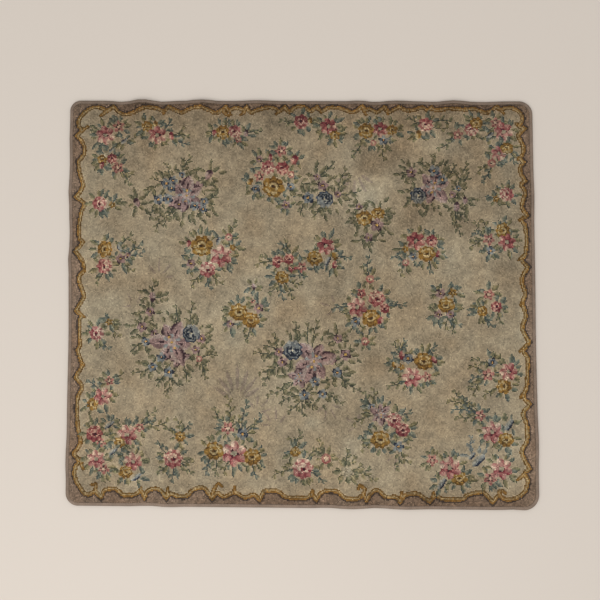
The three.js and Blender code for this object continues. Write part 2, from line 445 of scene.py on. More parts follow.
# Hooks that curl from the line into the field
HOOKS = [
    [(-78.5, 77.2), (-80.9, 75.2)],
    [(-55.3, 77.5), (-55.5, 76.1)],
    [(-30.9, 77.7), (-30.9, 76.8), (-29.3, 75.6), (-28.1, 75.8)],
    [(-22, 78.1), (-22.8, 76.6), (-24.2, 75.6)],
    [(-8.4, 77.3), (-9.7, 76)],
    [(6.8, 78.5), (8.7, 76.8)],
    [(25.4, 78.6), (26, 76.9), (26.6, 75.9)],
    [(34.6, 78.6), (35.4, 76.1)],
    [(80.7, 78.1), (81.9, 76.5)],
    [(88.2, 71.4), (87, 72.2)],
    [(89.4, 59.9), (87.4, 58)],
    [(90.2, 34.5), (87.4, 33.3)],
    [(89.7, 19.3), (87.2, 17.2)],
    [(88.4, 0.1), (87.4, -0.7)],
    [(90.1, -16.6), (87.1, -19.2)],
    [(89.4, -33.6), (86.9, -37.4)],
    [(88.1, -67), (85.3, -69.6)],
    [(79.3, -77), (77.7, -74.6), (79.2, -74), (80.3, -74.9)],
    [(-81.6, -75.2), (-81.6, -73), (-83.2, -73.2)],
    [(-63.6, -75.5), (-63.6, -74.2)],
    [(-53.2, -77.2), (-52.8, -73.9)],
    [(-35.3, -77.5), (-34.7, -74.9), (-32.9, -72.1), (-31.4, -73.2)],
    [(-26.4, -75.7), (-26.4, -73.3)],
    [(4.2, -76.3), (4.4, -74.5)],
    [(24.3, -76.2), (25, -73.8), (23.2, -72.4), (22.5, -73.8)],
    [(39.3, -77.9), (39.6, -74.8)],
    [(51.8, -77), (52.2, -75)],
    [(-88.6, 68.9), (-86.2, 70.7)],
    [(-89.2, 24.5), (-87.3, 23.7)],
    [(-88, 15.6), (-86.8, 11.8)],
    [(-90, -4.4), (-86.8, -6.7)],
    [(-88.4, -24.6), (-87.1, -25.8)],
    [(-88.3, -53.7), (-87.6, -57.1)],
    [(-87.7, -63.4), (-86.6, -67)],
]

# Faint fans of leaves in the field: x and y of the foot, length, turn, and number of leaves
PLUMES = [
    (-25.4, -40, 15, 1.57, 7), (-17.5, -44, 8, 1.2, 4), (-10, -50, 9, 1.9, 4), (10.5, -40, 8, -1.4, 4),
    (38, -59, 8, -1.4, 4), (14, -2, 7, 2.9, 3), (23, -49, 7, 2.6, 3), (-57, 9, 9, 1.2, 4),
    (-66, -2, 7, 2.2, 3), (22, 53, 12, -1.6, 5),
]

# Patches where the pile is paler or darker: x, y, radius and change
WORN = [
    (-60, 88, 60, -0.11), (0, 88, 60, -0.12), (60, 88, 60, -0.16), (60, 35, 45, -0.06), (28, 20, 30, -0.08),
    (0, -60, 60, 0.02), (-60, 20, 45, 0.03), (28.5, 43.5, 14, 0.19), (53, 64, 12, 0.14), (65, 22, 11, 0.1),
    (-18, -73, 8, 0.10), (38, 59, 10, -0.13), (28, 57, 9, -0.1), (47, 38, 9, -0.12), (82, 14, 10, -0.12),
    (-25, -8, 28, 0.06), (50, 0, 35, 0.03), (-80, -20, 30, -0.04), (-16, 15, 12, 0.06), (-18, -23, 12, 0.06),
    (48, -31, 16, 0.08), (42, 50, 9, -0.08), (18, 63, 9, 0.07),
]

# The bouquets. A flower has its kind, x, y and width, and a tip is where a leaf or a sprig ends.
BOUQUETS = {
    "far left corner": dict(leaf="cool", flowers=[
        ("mallow", -79, 67.2, 7.6), ("pink_star", -73.6, 70.9, 5), ("blue_bell", -71.4, 64.8, 2.6),
    ], tips=[
        (-85.5, 71.5), (-81, 74.6), (-77.6, 74.2), (-74.8, 75), (-70, 73.8), (-66, 67), (-84.4, 61.4),
        (-80.6, 61.8), (-69, 70.8), (-74.6, 62), (-85.6, 67.4),
    ]),
    "far edge, left": dict(leaf="cool", flowers=[
        ("gold_rose", -62, 70.9, 4.6), ("gold_bud", -58.6, 71.8, 2.4), ("mallow", -57.9, 67.3, 7.4),
        ("red_bud", -52.2, 67, 2.8),
    ], tips=[
        (-44.8, 66.4), (-46.5, 70.4), (-54.6, 73.8), (-52, 74.2), (-67.4, 72.6), (-64.4, 74.6),
        (-66.8, 66.8), (-44.8, 63.4), (-49.4, 64), (-55, 62.6), (-60.4, 62.4),
    ]),
    "left of the far corner": dict(leaf="cool", flowers=[
        ("gold_rose", -80.2, 57.4, 4.2), ("cream_bud", -78.6, 59.6, 2.6), ("blue_bell", -76.6, 61, 2.2),
        ("red_rose", -76.2, 57.6, 4.4), ("red_bud", -80.4, 55, 2.6), ("pink_star", -73.9, 54, 5),
    ], tips=[
        (-84.6, 59.2), (-83.6, 52.8), (-80.4, 50.6), (-76.2, 50.4), (-69, 46.4), (-67.4, 51.2),
        (-70.4, 57.6), (-72.8, 60.4), (-85, 55.4),
    ]),
    "left, upper": dict(leaf="cool", flowers=[
        ("pink_rose", -81, 39.3, 6.2), ("gold_star", -76, 38.9, 3),
    ], tips=[
        (-85.4, 43.4), (-81.6, 45), (-77.4, 44.8), (-74.2, 43.6), (-72, 41.4), (-83, 33.2), (-79, 34.6),
        (-77.6, 33.4), (-86, 39.4), (-85.4, 35.4),
    ]),
    "left, middle": dict(leaf="cool", flowers=[
        ("gold_rose", -78.8, 20.8, 7), ("pink_rose", -78.8, 14, 6.6), ("small_mauve", -72.4, 17, 4.2),
        ("small_mauve", -69.6, 18.4, 2.6), ("blue_bell", -73, 21.2, 2.6),
    ], tips=[
        (-85.2, 24.6), (-79, 26.4), (-75.6, 25.6), (-72.4, 24), (-67.4, 26.8), (-66.4, 24), (-63, 23),
        (-62.4, 20.2), (-66.4, 16.6), (-66.6, 11.8), (-70, 11), (-75.2, 9), (-82.6, 6.8), (-85.4, 11.4),
        (-77.2, 8), (-84.6, 17.4),
    ]),
    "left, below the middle": dict(leaf="cool", flowers=[
        ("pink_rose", -81.8, -13.1, 6.2), ("gold_star", -76.8, -8.6, 3.2),
    ], tips=[
        (-86.2, -12), (-85.4, -7.6), (-81, -6.8), (-78.2, -5.8), (-71.6, -9.6), (-72.2, -14.6),
        (-75, -12.8), (-76.2, -19.6), (-79.4, -18.8), (-81.6, -19.8), (-85.4, -17),
    ]),
    "left, lower": dict(leaf="cool", flowers=[
        ("gold_rose", -83, -41.3, 5.2), ("mallow", -79, -38.2, 7), ("pink_star", -76.5, -32, 3.8),
    ], tips=[
        (-79.6, -28.2), (-71, -28.6), (-72, -31.2), (-85.6, -31.6), (-86, -36.4), (-74.8, -35.8),
        (-77.2, -43.8), (-86, -42.6), (-81.6, -31.2), (-74.6, -39.6),
    ]),
    "left, near the corner": dict(leaf="cool", flowers=[
        ("red_rose", -82.3, -53, 7), ("pink_star", -79.5, -56.4, 3.8), ("blue_bell", -76.4, -49.5, 3.6),
    ], tips=[
        (-84.4, -45.4), (-86, -48.4), (-80, -46.6), (-77.2, -45.4), (-72, -47.2), (-75.4, -52.6),
        (-86, -57.4), (-74.8, -45), (-82.4, -58.4), (-76.4, -56.6),
    ]),
    "near corner, left": dict(leaf="cool", flowers=[
        ("pink_star", -64.3, -50.4, 4), ("mallow", -69.3, -53.3, 8), ("gold_rose", -72.2, -56.4, 4.8),
    ], tips=[
        (-57.2, -43.4), (-52.4, -47.4), (-57.4, -47.4), (-68.2, -46.8), (-71, -48.6), (-73.6, -51),
        (-76.8, -56.8), (-64, -57.4), (-68.6, -60.2), (-62.2, -54.4), (-60.8, -51.6), (-66.4, -47),
    ]),
    "near left corner": dict(leaf="cool", flowers=[
        ("mallow", -81.5, -63, 7), ("pink_star", -78.5, -66.8, 4.6), ("blue_bell", -74.8, -60, 3.2),
    ], tips=[
        (-86.4, -62.2), (-86, -67.4), (-84, -69.8), (-81, -71), (-79, -72.2), (-75.8, -72),
        (-72.6, -68), (-75.6, -63), (-84.2, -59), (-79.6, -58.6),
    ]),
    "near edge, left": dict(leaf="cool", flowers=[
        ("mallow", -66.8, -63.8, 7.2), ("gold_rose", -69.6, -68, 5.8), ("blue_bell", -65.4, -70, 3.6),
    ], tips=[
        (-60, -62.6), (-62.2, -60.4), (-62.4, -67.4), (-59.8, -71), (-64, -72.8), (-68.4, -73.4),
        (-72, -72.2), (-72, -62.6), (-75.4, -67.8), (-65, -58.6), (-69.4, -59.6),
    ]),
    "near edge, left of middle": dict(leaf="cool", flowers=[
        ("pink_rose", -50.8, -62.6, 8), ("gold_rose", -48, -53.9, 4.4),
    ], tips=[
        (-54, -49.8), (-49.8, -46.2), (-43.2, -48.6), (-41.8, -53.2), (-46.8, -48.4), (-52.4, -51.4),
        (-57, -55.8), (-57.8, -62.2), (-57.6, -68), (-55, -68.6), (-51.8, -71.8), (-48.6, -70.6),
        (-43, -68.8), (-42.4, -63.6), (-45, -59),
    ]),
    "near edge, great bouquet": dict(leaf="cool", flowers=[
        ("pink_star", -29, -50.4, 5.4), ("small_blue", -23.2, -52.6, 5), ("gold_rose", -34.5, -59.3, 8),
        ("gold_rose", -19.4, -61.6, 7.4), ("mallow", -26.6, -60.4, 9.8),
    ], tips=[
        (-34.6, -42), (-29.4, -37.2), (-20.8, -39.4), (-15.4, -44.8), (-17, -48), (-18, -51.4),
        (-33.4, -46.4), (-34.6, -50.6), (-35.6, -52.4), (-39.8, -55.8), (-39.8, -63.4), (-37.6, -69),
        (-34, -69.2), (-30.6, -68.8), (-26.8, -69.6), (-17.4, -70.2), (-15.6, -66.8), (-14.4, -58.2),
        (-14.8, -63.4), (-23.4, -67.4), (-20, -55.6), (-23.6, -45.4), (-30.6, -55.6),
    ]),
    "near edge, middle": dict(leaf="cool", flowers=[
        ("gold_rose", -2.3, -59.5, 4.4), ("pink_rose", 0.6, -66, 8.6),
    ], tips=[
        (0.4, -51.4), (-5, -53.4), (-2.6, -54.4), (2.4, -55.2), (-7.8, -62.4), (-11.4, -69.2),
        (-5.4, -70.4), (-2.4, -72), (1.6, -73.2), (5, -71.4), (9.2, -71.8), (7.4, -66.8), (6, -58.4),
    ]),
    "near edge, pale": dict(leaf="pale", flowers=[
        ("rosette", 9.8, -62, 4), ("pale_rose", 18, -67, 5),
    ], tips=[
        (7.4, -54), (11.6, -56.8), (5.4, -59), (13.6, -60), (19.2, -58.4), (16.4, -61.8), (22, -61.2),
        (24.4, -64.2), (12, -67.4), (14.6, -70.4), (22.2, -72.2), (27.6, -66), (30, -70.8), (12.4, -65),
        (19, -72),
    ]),
    "middle, great blue bouquet": dict(leaf="olive", flowers=[
        ("small_mauve", 17.7, -21, 5), ("small_mauve", 12.4, -23, 4.2), ("small_mauve", 14.8, -14.6, 4),
        ("small_mauve", -8.6, -20, 4), ("small_mauve", -7.3, -24, 4.4), ("mauve_lily", -0.6, -30, 9),
        ("mauve_lily", 5.2, -23.8, 17.4), ("blue_rose", -3.2, -19.3, 8),
        ("small_blue", 5.6, -31.7, 4.4), ("small_blue", 14.4, -28, 4.4), ("small_blue", 1.4, -37, 4.6),
        ("small_blue", 8.6, -36.5, 4),
    ], tips=[
        (7.2, -7.4), (-2.2, -7.6), (3.2, -8.4), (10.8, -12.2), (13.6, -9.8), (21.6, -18.4),
        (18.6, -13.4), (20.4, -29.2), (18.6, -33.2), (23.6, -35.2), (16.6, -40.8), (12.6, -37.4),
        (5.2, -43.2), (1, -45.6), (-5.6, -43.8), (-8.6, -40.4), (-13.8, -37.2), (-15.2, -33.4),
        (-17.2, -28.6), (-15.4, -23.2), (-18.8, -19.8), (-14.6, -17.6), (-10.4, -12.6), (-1.6, -12.2),
        (20.6, -24.6), (11.4, -31.6), (4.6, -14.4), (-11.6, -25.6), (-9.2, -29), (-7.8, -34.6),
        (-3.4, -38.6),
    ]),
    "left, great blue bouquet": dict(leaf="olive", flowers=[
        ("small_mauve", -60.3, -4.4, 4), ("mauve_bud", -59.5, 1.6, 3.6),
        ("small_mauve", -63.6, -10.4, 4.4), ("small_mauve", -58.6, -13, 3.6),
        ("small_blue", -62, -16.2, 4), ("small_mauve", -39.6, -15, 3.8),
        ("small_mauve", -42, -19.3, 3.8), ("rosette", -40.6, -23, 2.6),
        ("mauve_lily", -48.5, -22.6, 8.6), ("mauve_lily", -51.6, -16.6, 17.6),
        ("blue_rose", -43.8, -13, 7.4), ("small_blue", -55.8, -22.5, 4.2),
        ("small_blue", -59.2, -26.4, 3.8), ("small_blue", -52.7, -28.4, 4.6),
    ], tips=[
        (-58, 8.8), (-63.2, 4.2), (-55.2, 4), (-64.6, -1.4), (-53.4, -0.2), (-50, -1.4), (-55.4, -6),
        (-50.4, -6.6), (-42.6, -0.4), (-43.4, -7), (-35, -13.2), (-36.2, -16.4), (-33.2, -21.4),
        (-37.4, -25.8), (-38, -31.2), (-42.4, -28.4), (-45.4, -32.4), (-48.4, -33.8), (-54, -38.6),
        (-57.6, -34.2), (-67.6, -28.4), (-63.6, -25), (-60.6, -31.4), (-68, -20.4), (-64.6, -20.2),
        (-68.4, -13.4), (-66.8, -7.4), (-47.6, -8.2),
    ]),
    "far left, great blue bouquet": dict(leaf="olive", flowers=[
        ("small_mauve", -46.8, 47.8, 4.6), ("small_mauve", -41.4, 46.4, 4.4),
        ("mauve_lily", -46, 42.6, 15.6), ("small_blue", -54.2, 47.6, 4.6),
        ("small_blue", -51.4, 48.8, 4), ("small_blue", -52, 45.6, 3.8), ("small_blue", -57.2, 41, 4.6),
        ("small_blue", -53.4, 41.3, 4.6), ("small_mauve", -49, 39, 4.4),
        ("small_blue", -42.6, 38.5, 4.2), ("small_blue", -38.8, 40.2, 3.8),
        ("small_blue", -39.2, 37.2, 3.6), ("mauve_bud", -37, 51.2, 3.8), ("mauve_bud", -66, 39.8, 3.4),
        ("small_blue", -47.8, 51.2, 3),
    ], tips=[
        (-53.8, 56.2), (-57.4, 53), (-60.4, 50.6), (-47, 58), (-43.8, 58.8), (-50.4, 53.4), (-36, 56),
        (-32, 55), (-32.8, 48), (-33, 44.4), (-34.4, 40.2), (-35.6, 37.4), (-61, 46.6), (-66.8, 44.6),
        (-62.4, 42.8), (-66.6, 36.4), (-63.2, 36.6), (-60.6, 32.8), (-58.6, 27.6), (-55.2, 29.8),
        (-54.6, 33.6), (-51.4, 32.8), (-47, 34.2), (-44.2, 31.6), (-59.8, 37), (-40.6, 33.8),
    ]),
    "far, middle": dict(leaf="cool", flowers=[
        ("small_mauve", -16.5, 57.6, 3), ("pink_star", -16.5, 50.6, 4.4), ("red_bud", -12, 58.3, 2.6),
        ("pink_rose", -13, 54.2, 6), ("red_rose", -7.2, 53.9, 5.8), ("pink_star", -7.7, 61, 5),
        ("red_bud", -2.3, 57.3, 3.8), ("rosette", -3.7, 51.4, 2.8), ("gold_rose", -10.9, 46.3, 9.4),
        ("small_blue", -18, 45.6, 3.8), ("small_blue", -4, 46.4, 3.8), ("small_mauve", -5.8, 39, 3.4),
        ("gold_bud", -20.2, 48.4, 2.8),
    ], tips=[
        (-16.8, 62.4), (-13.4, 61), (-11, 65.2), (-6.4, 65.2), (-2.8, 62.4), (-3.4, 59.8), (-0.2, 55.6),
        (-0.8, 49.6), (-1.2, 44.8), (-3.2, 42.4), (-6.8, 41.2), (-3.2, 38.4), (-7, 35.6), (-10.2, 38),
        (-9.6, 40.2), (-13, 40), (-16.8, 41.2), (-22.2, 43.2), (-22, 46.8), (-22.8, 51), (-20.6, 55.8),
    ]),
    "far, right of middle": dict(leaf="olive", flowers=[
        ("small_mauve", 15, 43.4, 3.2), ("small_mauve", 6.7, 50.4, 3), ("small_mauve", 9, 46.9, 4.6),
        ("small_blue", 3.2, 41.9, 5), ("blue_rose", 9.8, 41.3, 7),
    ], tips=[
        (19, 54), (13.6, 56.6), (10.4, 54.8), (6, 54.8), (2, 51.6), (-0.4, 47.2), (20.6, 51),
        (24.2, 45), (19.8, 40.8), (16.8, 39.2), (10.2, 36.2), (8.6, 34), (4.6, 33.8), (0, 34.8),
        (1.2, 38.2), (17.4, 46.6), (13, 50.4), (3.4, 47),
    ]),
    "far right, great blue bouquet": dict(leaf="olive", flowers=[
        ("small_mauve", 44.6, 52.4, 4.4), ("mauve_bud", 66, 41.2, 2.8), ("mauve_bud", 62.6, 38.7, 3.4),
        ("small_mauve", 61, 43.4, 3.2), ("mauve_lily", 53.4, 46.2, 15), ("small_blue", 53.8, 53, 4.8),
        ("small_blue", 57, 49.5, 4.4), ("blue_rose", 47.3, 43, 6.6), ("small_blue", 63.4, 46, 2.8),
    ], tips=[
        (53.6, 59.8), (57.8, 57.6), (50.2, 56.6), (62.6, 55.6), (67.8, 56.2), (67.6, 52.6), (67, 48.6),
        (69.2, 41.4), (67.2, 36.6), (64.2, 26.8), (61.8, 30.4), (66.6, 32.4), (60.2, 34), (56, 37.2),
        (53, 38.2), (50.6, 36), (47, 38), (42.4, 41.6), (41.8, 45.4), (40.2, 49.6), (43.2, 56.2),
        (39.2, 55.2), (60.4, 52.6), (58.6, 40.4),
    ]),
    "far edge, left of middle": dict(leaf="cool", flowers=[
        ("gold_rose", -31.2, 68.6, 6.4), ("pink_rose", -26.4, 68.8, 5.6), ("red_bud", -34.9, 68.4, 2.4),
        ("pink_star", -25, 65.6, 3), ("mauve_bud", -21.8, 68.2, 2.6),
    ], tips=[
        (-37.6, 72.4), (-38.8, 68.2), (-37, 64), (-33.2, 74.2), (-30, 73.8), (-27.6, 73.8), (-24.4, 73),
        (-20.4, 72.8), (-15.4, 69.2), (-20.8, 62.6), (-24.8, 63), (-28.6, 63.4), (-33, 64.2),
    ]),
    "far edge, middle": dict(leaf="cool", flowers=[
        ("red_rose", 0.4, 72.9, 6.2), ("gold_bud", 4, 73.6, 2.4),
    ], tips=[
        (-8.4, 74), (-3.6, 69.4), (-0.4, 67.6), (4.4, 69.4), (6.6, 72),
    ]),
    "far edge, right of middle": dict(leaf="cool", flowers=[
        ("red_mallow", 11.4, 71, 6.8), ("gold_rose", 14, 67.5, 4.4),
    ], tips=[
        (6.2, 74.4), (9.8, 75.6), (14.8, 74.2), (18.2, 74.8), (19, 71.2), (18.8, 68.4), (17.8, 66),
        (11, 63), (7.4, 65.2), (6, 68), (5, 71.6),
    ]),
    "far edge, right": dict(leaf="cool", flowers=[
        ("small_blue", 33.6, 65.4, 4.2), ("rosette", 29.4, 64.4, 2.4), ("gold_rose", 26.7, 69.3, 7),
        ("gold_rose", 37, 69.6, 4.8), ("red_mallow", 32.3, 70, 6),
    ], tips=[
        (20.6, 58.6), (24.2, 62.8), (21.6, 66.6), (21.4, 72.8), (24.6, 74.8), (27, 75), (29.4, 74.4),
        (32, 75.2), (38.8, 73.8), (42, 71.6), (41.8, 67.2), (37.4, 64.4), (36.8, 60.8), (33.8, 57.2),
        (27.6, 60.6), (30, 60.8),
    ]),
    "far edge, near the corner": dict(leaf="cool", flowers=[
        ("pink_rose", 50.7, 71.7, 6.2), ("gold_bud", 47.7, 67.8, 3.2),
    ], tips=[
        (43.4, 75.2), (47, 75.8), (52.4, 75.6), (56.2, 74.8), (61.4, 73.4), (60, 70.8), (54.6, 66.4),
        (51.4, 66), (44.2, 68.2), (43.2, 65.6),
    ]),
    "far right, beside the corner": dict(leaf="cool", flowers=[
        ("pink_rose", 69, 69.9, 5.8), ("gold_rose", 71, 72.6, 5.4), ("pink_star", 63.5, 67.8, 4.4),
    ], tips=[
        (65.6, 75.8), (68.4, 75.4), (73.4, 75.8), (75, 72.8), (72.8, 66.2), (70, 65.6), (67.2, 65.6),
        (60.4, 64.6), (55, 62), (59.8, 67.8), (63.2, 73),
    ]),
    "far right corner": dict(leaf="cool", flowers=[
        ("pink_star", 78.7, 72.8, 4.4), ("mallow", 81.8, 69, 7.4), ("blue_bell", 76.6, 67.6, 3),
    ], tips=[
        (75, 74.2), (80.4, 76), (86, 73.6), (75.2, 64.8), (84, 64.2), (86.8, 65.4), (80.8, 64.4),
    ]),
    "right, upper corner": dict(leaf="cool", flowers=[
        ("mallow", 79.8, 60.3, 6), ("gold_rose", 83, 62.4, 5.4), ("rosette", 77, 56.3, 3.4),
    ], tips=[
        (75.4, 62.4), (87, 58.2), (86, 55.8), (81.8, 55.2), (73.4, 54.6), (71, 52), (72.6, 48.4),
        (79.2, 65.2), (80, 56.4),
    ]),
    "right, upper": dict(leaf="cool", flowers=[
        ("pink_rose", 82.6, 43.6, 6), ("gold_star", 78.4, 41.8, 3),
    ], tips=[
        (80.6, 48), (83.4, 48), (85.8, 47.8), (87.2, 43), (83.4, 38.4), (78.2, 45.8), (74.2, 41.4),
        (86.2, 39.8), (80.4, 38.8),
    ]),
    "right, above the middle": dict(leaf="cool", flowers=[
        ("gold_rose", 81, 29, 6.6), ("red_mallow", 82.4, 24.4, 6.8), ("pink_star", 75.3, 25.4, 5),
        ("small_blue", 76, 21, 3.8),
    ], tips=[
        (69.6, 33), (72.4, 33.6), (74.2, 31), (68.4, 28), (67.8, 25.4), (67.6, 21.8), (71, 20.4),
        (74.6, 16.4), (77.8, 17.2), (83.8, 17.4), (79.6, 17.8), (86.8, 20.2), (87.2, 27.6),
        (84.6, 33.6), (79.2, 33.2), (82, 33.2),
    ]),
    "middle right, upper": dict(leaf="olive", flowers=[
        ("gold_rose", 25.7, 33.8, 6.8), ("gold_rose", 31.2, 35.7, 5.6), ("small_mauve", 30.6, 31, 5.6),
        ("small_mauve", 27.3, 26, 3.6), ("small_mauve", 23.6, 38.4, 3),
    ], tips=[
        (21.2, 40.8), (20, 36), (20.2, 31.6), (22.4, 28.6), (29, 39.8), (32, 39.8), (36.8, 38.2),
        (37, 35), (36.8, 32.2), (33.8, 27.4), (23.8, 26.2), (24.6, 23.4), (27.6, 21.4), (31, 24.8),
        (26, 39),
    ]),
    "right of middle, upper": dict(leaf="cool", flowers=[
        ("red_mallow", 46.2, 24.7, 7.4), ("red_rose", 52.5, 24.8, 5), ("small_blue", 45, 18.4, 3.6),
        ("gold_rose", 50.5, 19.5, 7.2), ("red_bud", 55, 19.5, 2.4), ("gold_star", 42, 21.4, 2.8),
        ("rosette", 42, 16, 2.8),
    ], tips=[
        (44.2, 30), (48, 31), (50.6, 29.2), (53, 29.2), (55.6, 27.4), (40.2, 27.2), (39.6, 24.4),
        (57.8, 23.8), (58, 17.2), (54.8, 13.4), (51.8, 11.6), (47, 14.2), (43.4, 11.2), (40.2, 10.4),
        (38.8, 14.8), (36.2, 18.6), (36.4, 21),
    ]),
    "middle, upper left": dict(leaf="cool", flowers=[
        ("red_rose", -9, 16, 5.2), ("red_rose", -4.7, 17.2, 4.6), ("red_rose", -3.2, 13.4, 3.4),
        ("cream_bud", -7, 14.2, 2.8), ("gold_rose", -7.5, 9.7, 6),
    ], tips=[
        (-16.2, 19), (-18.2, 14.6), (-11.6, 20.8), (-8.4, 24.2), (-5, 25), (-0.8, 22.6), (-0.6, 20),
        (-14.8, 10.2), (-13, 3.2), (-11, 5.4), (-8, 4.2), (-6.8, 0.4), (-3.4, 0.8), (0.8, 7),
        (1.6, 9.2), (-13.6, 13.4),
    ]),
    "middle, upper right": dict(leaf="cool", flowers=[
        ("gold_rose", 5.6, 17.5, 6.6), ("red_mallow", 10.2, 22.4, 7), ("pink_star", 0.4, 14, 4.4),
        ("gold_bud", 13.8, 18.4, 3.2), ("red_bud", 13.5, 15, 2.8), ("blue_bell", 10.8, 16.4, 3.4),
    ], tips=[
        (5.6, 22.8), (6, 26.8), (9.4, 28.4), (13.4, 29.6), (15.8, 25.4), (15.6, 22.4), (20.4, 17.2),
        (17.4, 20.6), (16.4, 13.2), (14.4, 9.8), (11.4, 10), (7.6, 12.8), (2, 10.2),
    ]),
    "middle, lower left": dict(leaf="cool", flowers=[
        ("gold_rose", -24.8, -4.3, 7.8), ("gold_rose", -19.9, -7.4, 7),
        ("small_mauve", -16.8, -2.6, 4.2), ("small_mauve", -28.2, -9, 3.4), ("pink_star", -19, 0.2, 2),
        ("mauve_bud", -18.8, 6, 2.4),
    ], tips=[
        (-32, -3.8), (-29.2, -0.4), (-25.4, 3.2), (-22.8, 3.6), (-20.6, 4.6), (-15.6, 4.4),
        (-13.4, 2.4), (-12.2, -0.8), (-12.6, -3.4), (-13.2, -7), (-14.8, -10.2), (-18.2, -13.8),
        (-22.2, -16.2), (-22.8, -13), (-26.8, -14.8), (-31.2, -9.4),
    ]),
    "left of middle, upper": dict(leaf="cool", flowers=[
        ("gold_rose", -39.7, 22.3, 9.4), ("small_mauve", -44, 15.2, 4), ("mallow", -32, 18.3, 8.8),
        ("pink_rose", -37.4, 12.8, 6.8), ("red_bud", -45, 23.2, 2.4), ("rosette", -28.8, 25.9, 3),
        ("gold_star", -27.2, 21.8, 2.6), ("blue_bell", -33, 24.4, 3),
    ], tips=[
        (-40.2, 31.2), (-43.6, 29.2), (-37.2, 30), (-34.6, 28), (-25.4, 32.8), (-28.4, 31),
        (-24.6, 27.4), (-23.8, 24.4), (-21.8, 21), (-24.8, 18.4), (-25, 15), (-27.6, 11.4), (-32, 10),
        (-31.4, 13.4), (-36.4, 7.6), (-36, 4.6), (-40.2, 7.6), (-43.8, 5.6), (-45.4, 10.6),
        (-47.6, 13.8), (-46.6, 18.6), (-31, 7),
    ]),
    "middle right, great bouquet": dict(leaf="cool", flowers=[
        ("red_star", 24.3, 3.6, 4), ("mallow", 22.6, -2, 7.6), ("pink_rose", 30.4, 1.6, 7.2),
        ("red_rose", 33.5, -2.4, 4.2), ("small_blue", 22, -7.7, 4.4), ("gold_rose", 28, -6.3, 7.8),
        ("red_bud", 31.8, -7.2, 2.8), ("rosette", 25.6, -15.6, 3.2), ("rosette", 27.8, 9.3, 3.2),
    ], tips=[
        (20.2, 4.6), (18.4, 1.4), (16.4, -0.8), (12.4, -3), (16, -4.2), (18.2, -7.2), (17.8, -9.6),
        (21, -11.2), (23.6, -12.6), (26.6, -12.8), (30.4, -12.2), (33.2, -10.2), (34.8, -8),
        (35.6, -4.6), (42.2, -1.4), (37.4, 0.6), (35.2, 2), (35.8, 5.2), (32, 6), (28.2, 7),
        (24.8, 14.8), (29.8, 13.8), (27.4, 18.8), (22.4, -15.4), (29.4, -16.6), (30, -13.8),
        (27.8, -19.2),
    ]),
    "right, middle blue": dict(leaf="cool", flowers=[
        ("gold_rose", 58, -0.9, 7), ("small_mauve", 55.8, 3.7, 4.2), ("gold_star", 60.8, 4, 3.8),
        ("small_mauve", 54.8, -4.7, 3.6), ("small_mauve", 59.6, -4.7, 3.6),
    ], tips=[
        (51.6, 5), (54.2, 6.8), (59.2, 7.8), (62.6, 7.2), (65.6, 2.4), (65.2, -2.4), (62.6, -2.6),
        (63.8, -9.6), (60.4, -12.2), (57.6, -10.8), (55.8, -10.2), (52.2, -7.8), (50.6, -1.6),
        (52, 1.6), (50, -6.8),
    ]),
    "right, middle": dict(leaf="cool", flowers=[
        ("pink_star", 75, 3.4, 4.8), ("gold_rose", 72.4, -3.2, 4.6), ("red_rose", 77.9, -1.5, 4.8),
    ], tips=[
        (68.8, 4.6), (67.2, -0.6), (66.2, -2.8), (66.2, -5.2), (69.8, 1.4), (71, -8.8), (75, -8.8),
        (77.2, -9.8), (79.2, -8.4), (79.6, -6), (82.8, -1.6), (81.8, 2.6), (79.4, 4), (79, 7.4),
        (75.2, 7.4), (71.6, 5.4),
    ]),
    "right of middle, lower": dict(leaf="cool", flowers=[
        ("small_blue", 42.6, -22.4, 4.6), ("red_bud", 40, -21, 3), ("gold_star", 40, -25.6, 2.8),
        ("gold_bud", 37, -24.9, 2.4), ("gold_rose", 48.8, -23.3, 7.8), ("mallow", 44, -29.6, 7.8),
        ("pink_star", 50, -29.4, 4.2), ("red_bud", 53, -22.8, 2.6),
    ], tips=[
        (37.2, -15.8), (38.8, -14.6), (42.2, -15), (45.6, -18), (48, -17.6), (51.4, -15.6),
        (54.2, -16.8), (56.6, -21.4), (56, -25), (55.4, -27.8), (53.8, -32.6), (50.6, -33.4),
        (48, -36.2), (45, -34), (42.2, -34.2), (38.2, -33), (34.2, -33.2), (38.4, -30.2), (33, -24.4),
        (35.2, -22.6), (35.4, -27.4),
    ]),
    "right, lower": dict(leaf="cool", flowers=[
        ("small_blue", 76, -23.6, 4.2), ("gold_rose", 80.4, -32.9, 6.6), ("mallow", 82.2, -27.2, 7.2),
        ("pink_star", 74.3, -28.4, 5.2),
    ], tips=[
        (67.8, -21.8), (66.6, -25), (70.2, -26.6), (74, -18.2), (76.4, -19.2), (79.6, -20.2), (84, -20),
        (87, -22.2), (87, -26.4), (86.8, -30.4), (86, -34.4), (82.4, -39), (78.8, -37.6), (72, -37.4),
        (70.2, -32.8), (66.4, -31.2), (65.8, -33.6), (68, -37),
    ]),
    "right, near the corner": dict(leaf="cool", flowers=[
        ("mallow", 75.6, -51, 8.4), ("gold_rose", 80.9, -54, 6.4), ("pink_star", 71, -44.6, 4.4),
        ("blue_bell", 82.2, -48.2, 4.4),
    ], tips=[
        (60.6, -34.4), (57.8, -38.6), (63.6, -36.6), (59.2, -42.4), (60.8, -45), (66, -39.6),
        (72.8, -41.6), (77, -43.4), (79.2, -44.6), (85.4, -46.2), (84.8, -56.2), (81.4, -59.2),
        (77, -57.8), (73.2, -55.6), (70.2, -52.8), (67.8, -48.6),
    ]),
    "near right corner": dict(leaf="cool", flowers=[
        ("mallow", 79, -65.4, 8.4), ("pink_star", 74.4, -69.2, 5.2),
    ], tips=[
        (75.2, -59.6), (81, -60), (84, -61), (85.4, -66.4), (84.8, -70.8), (81, -73.2), (77, -73.2),
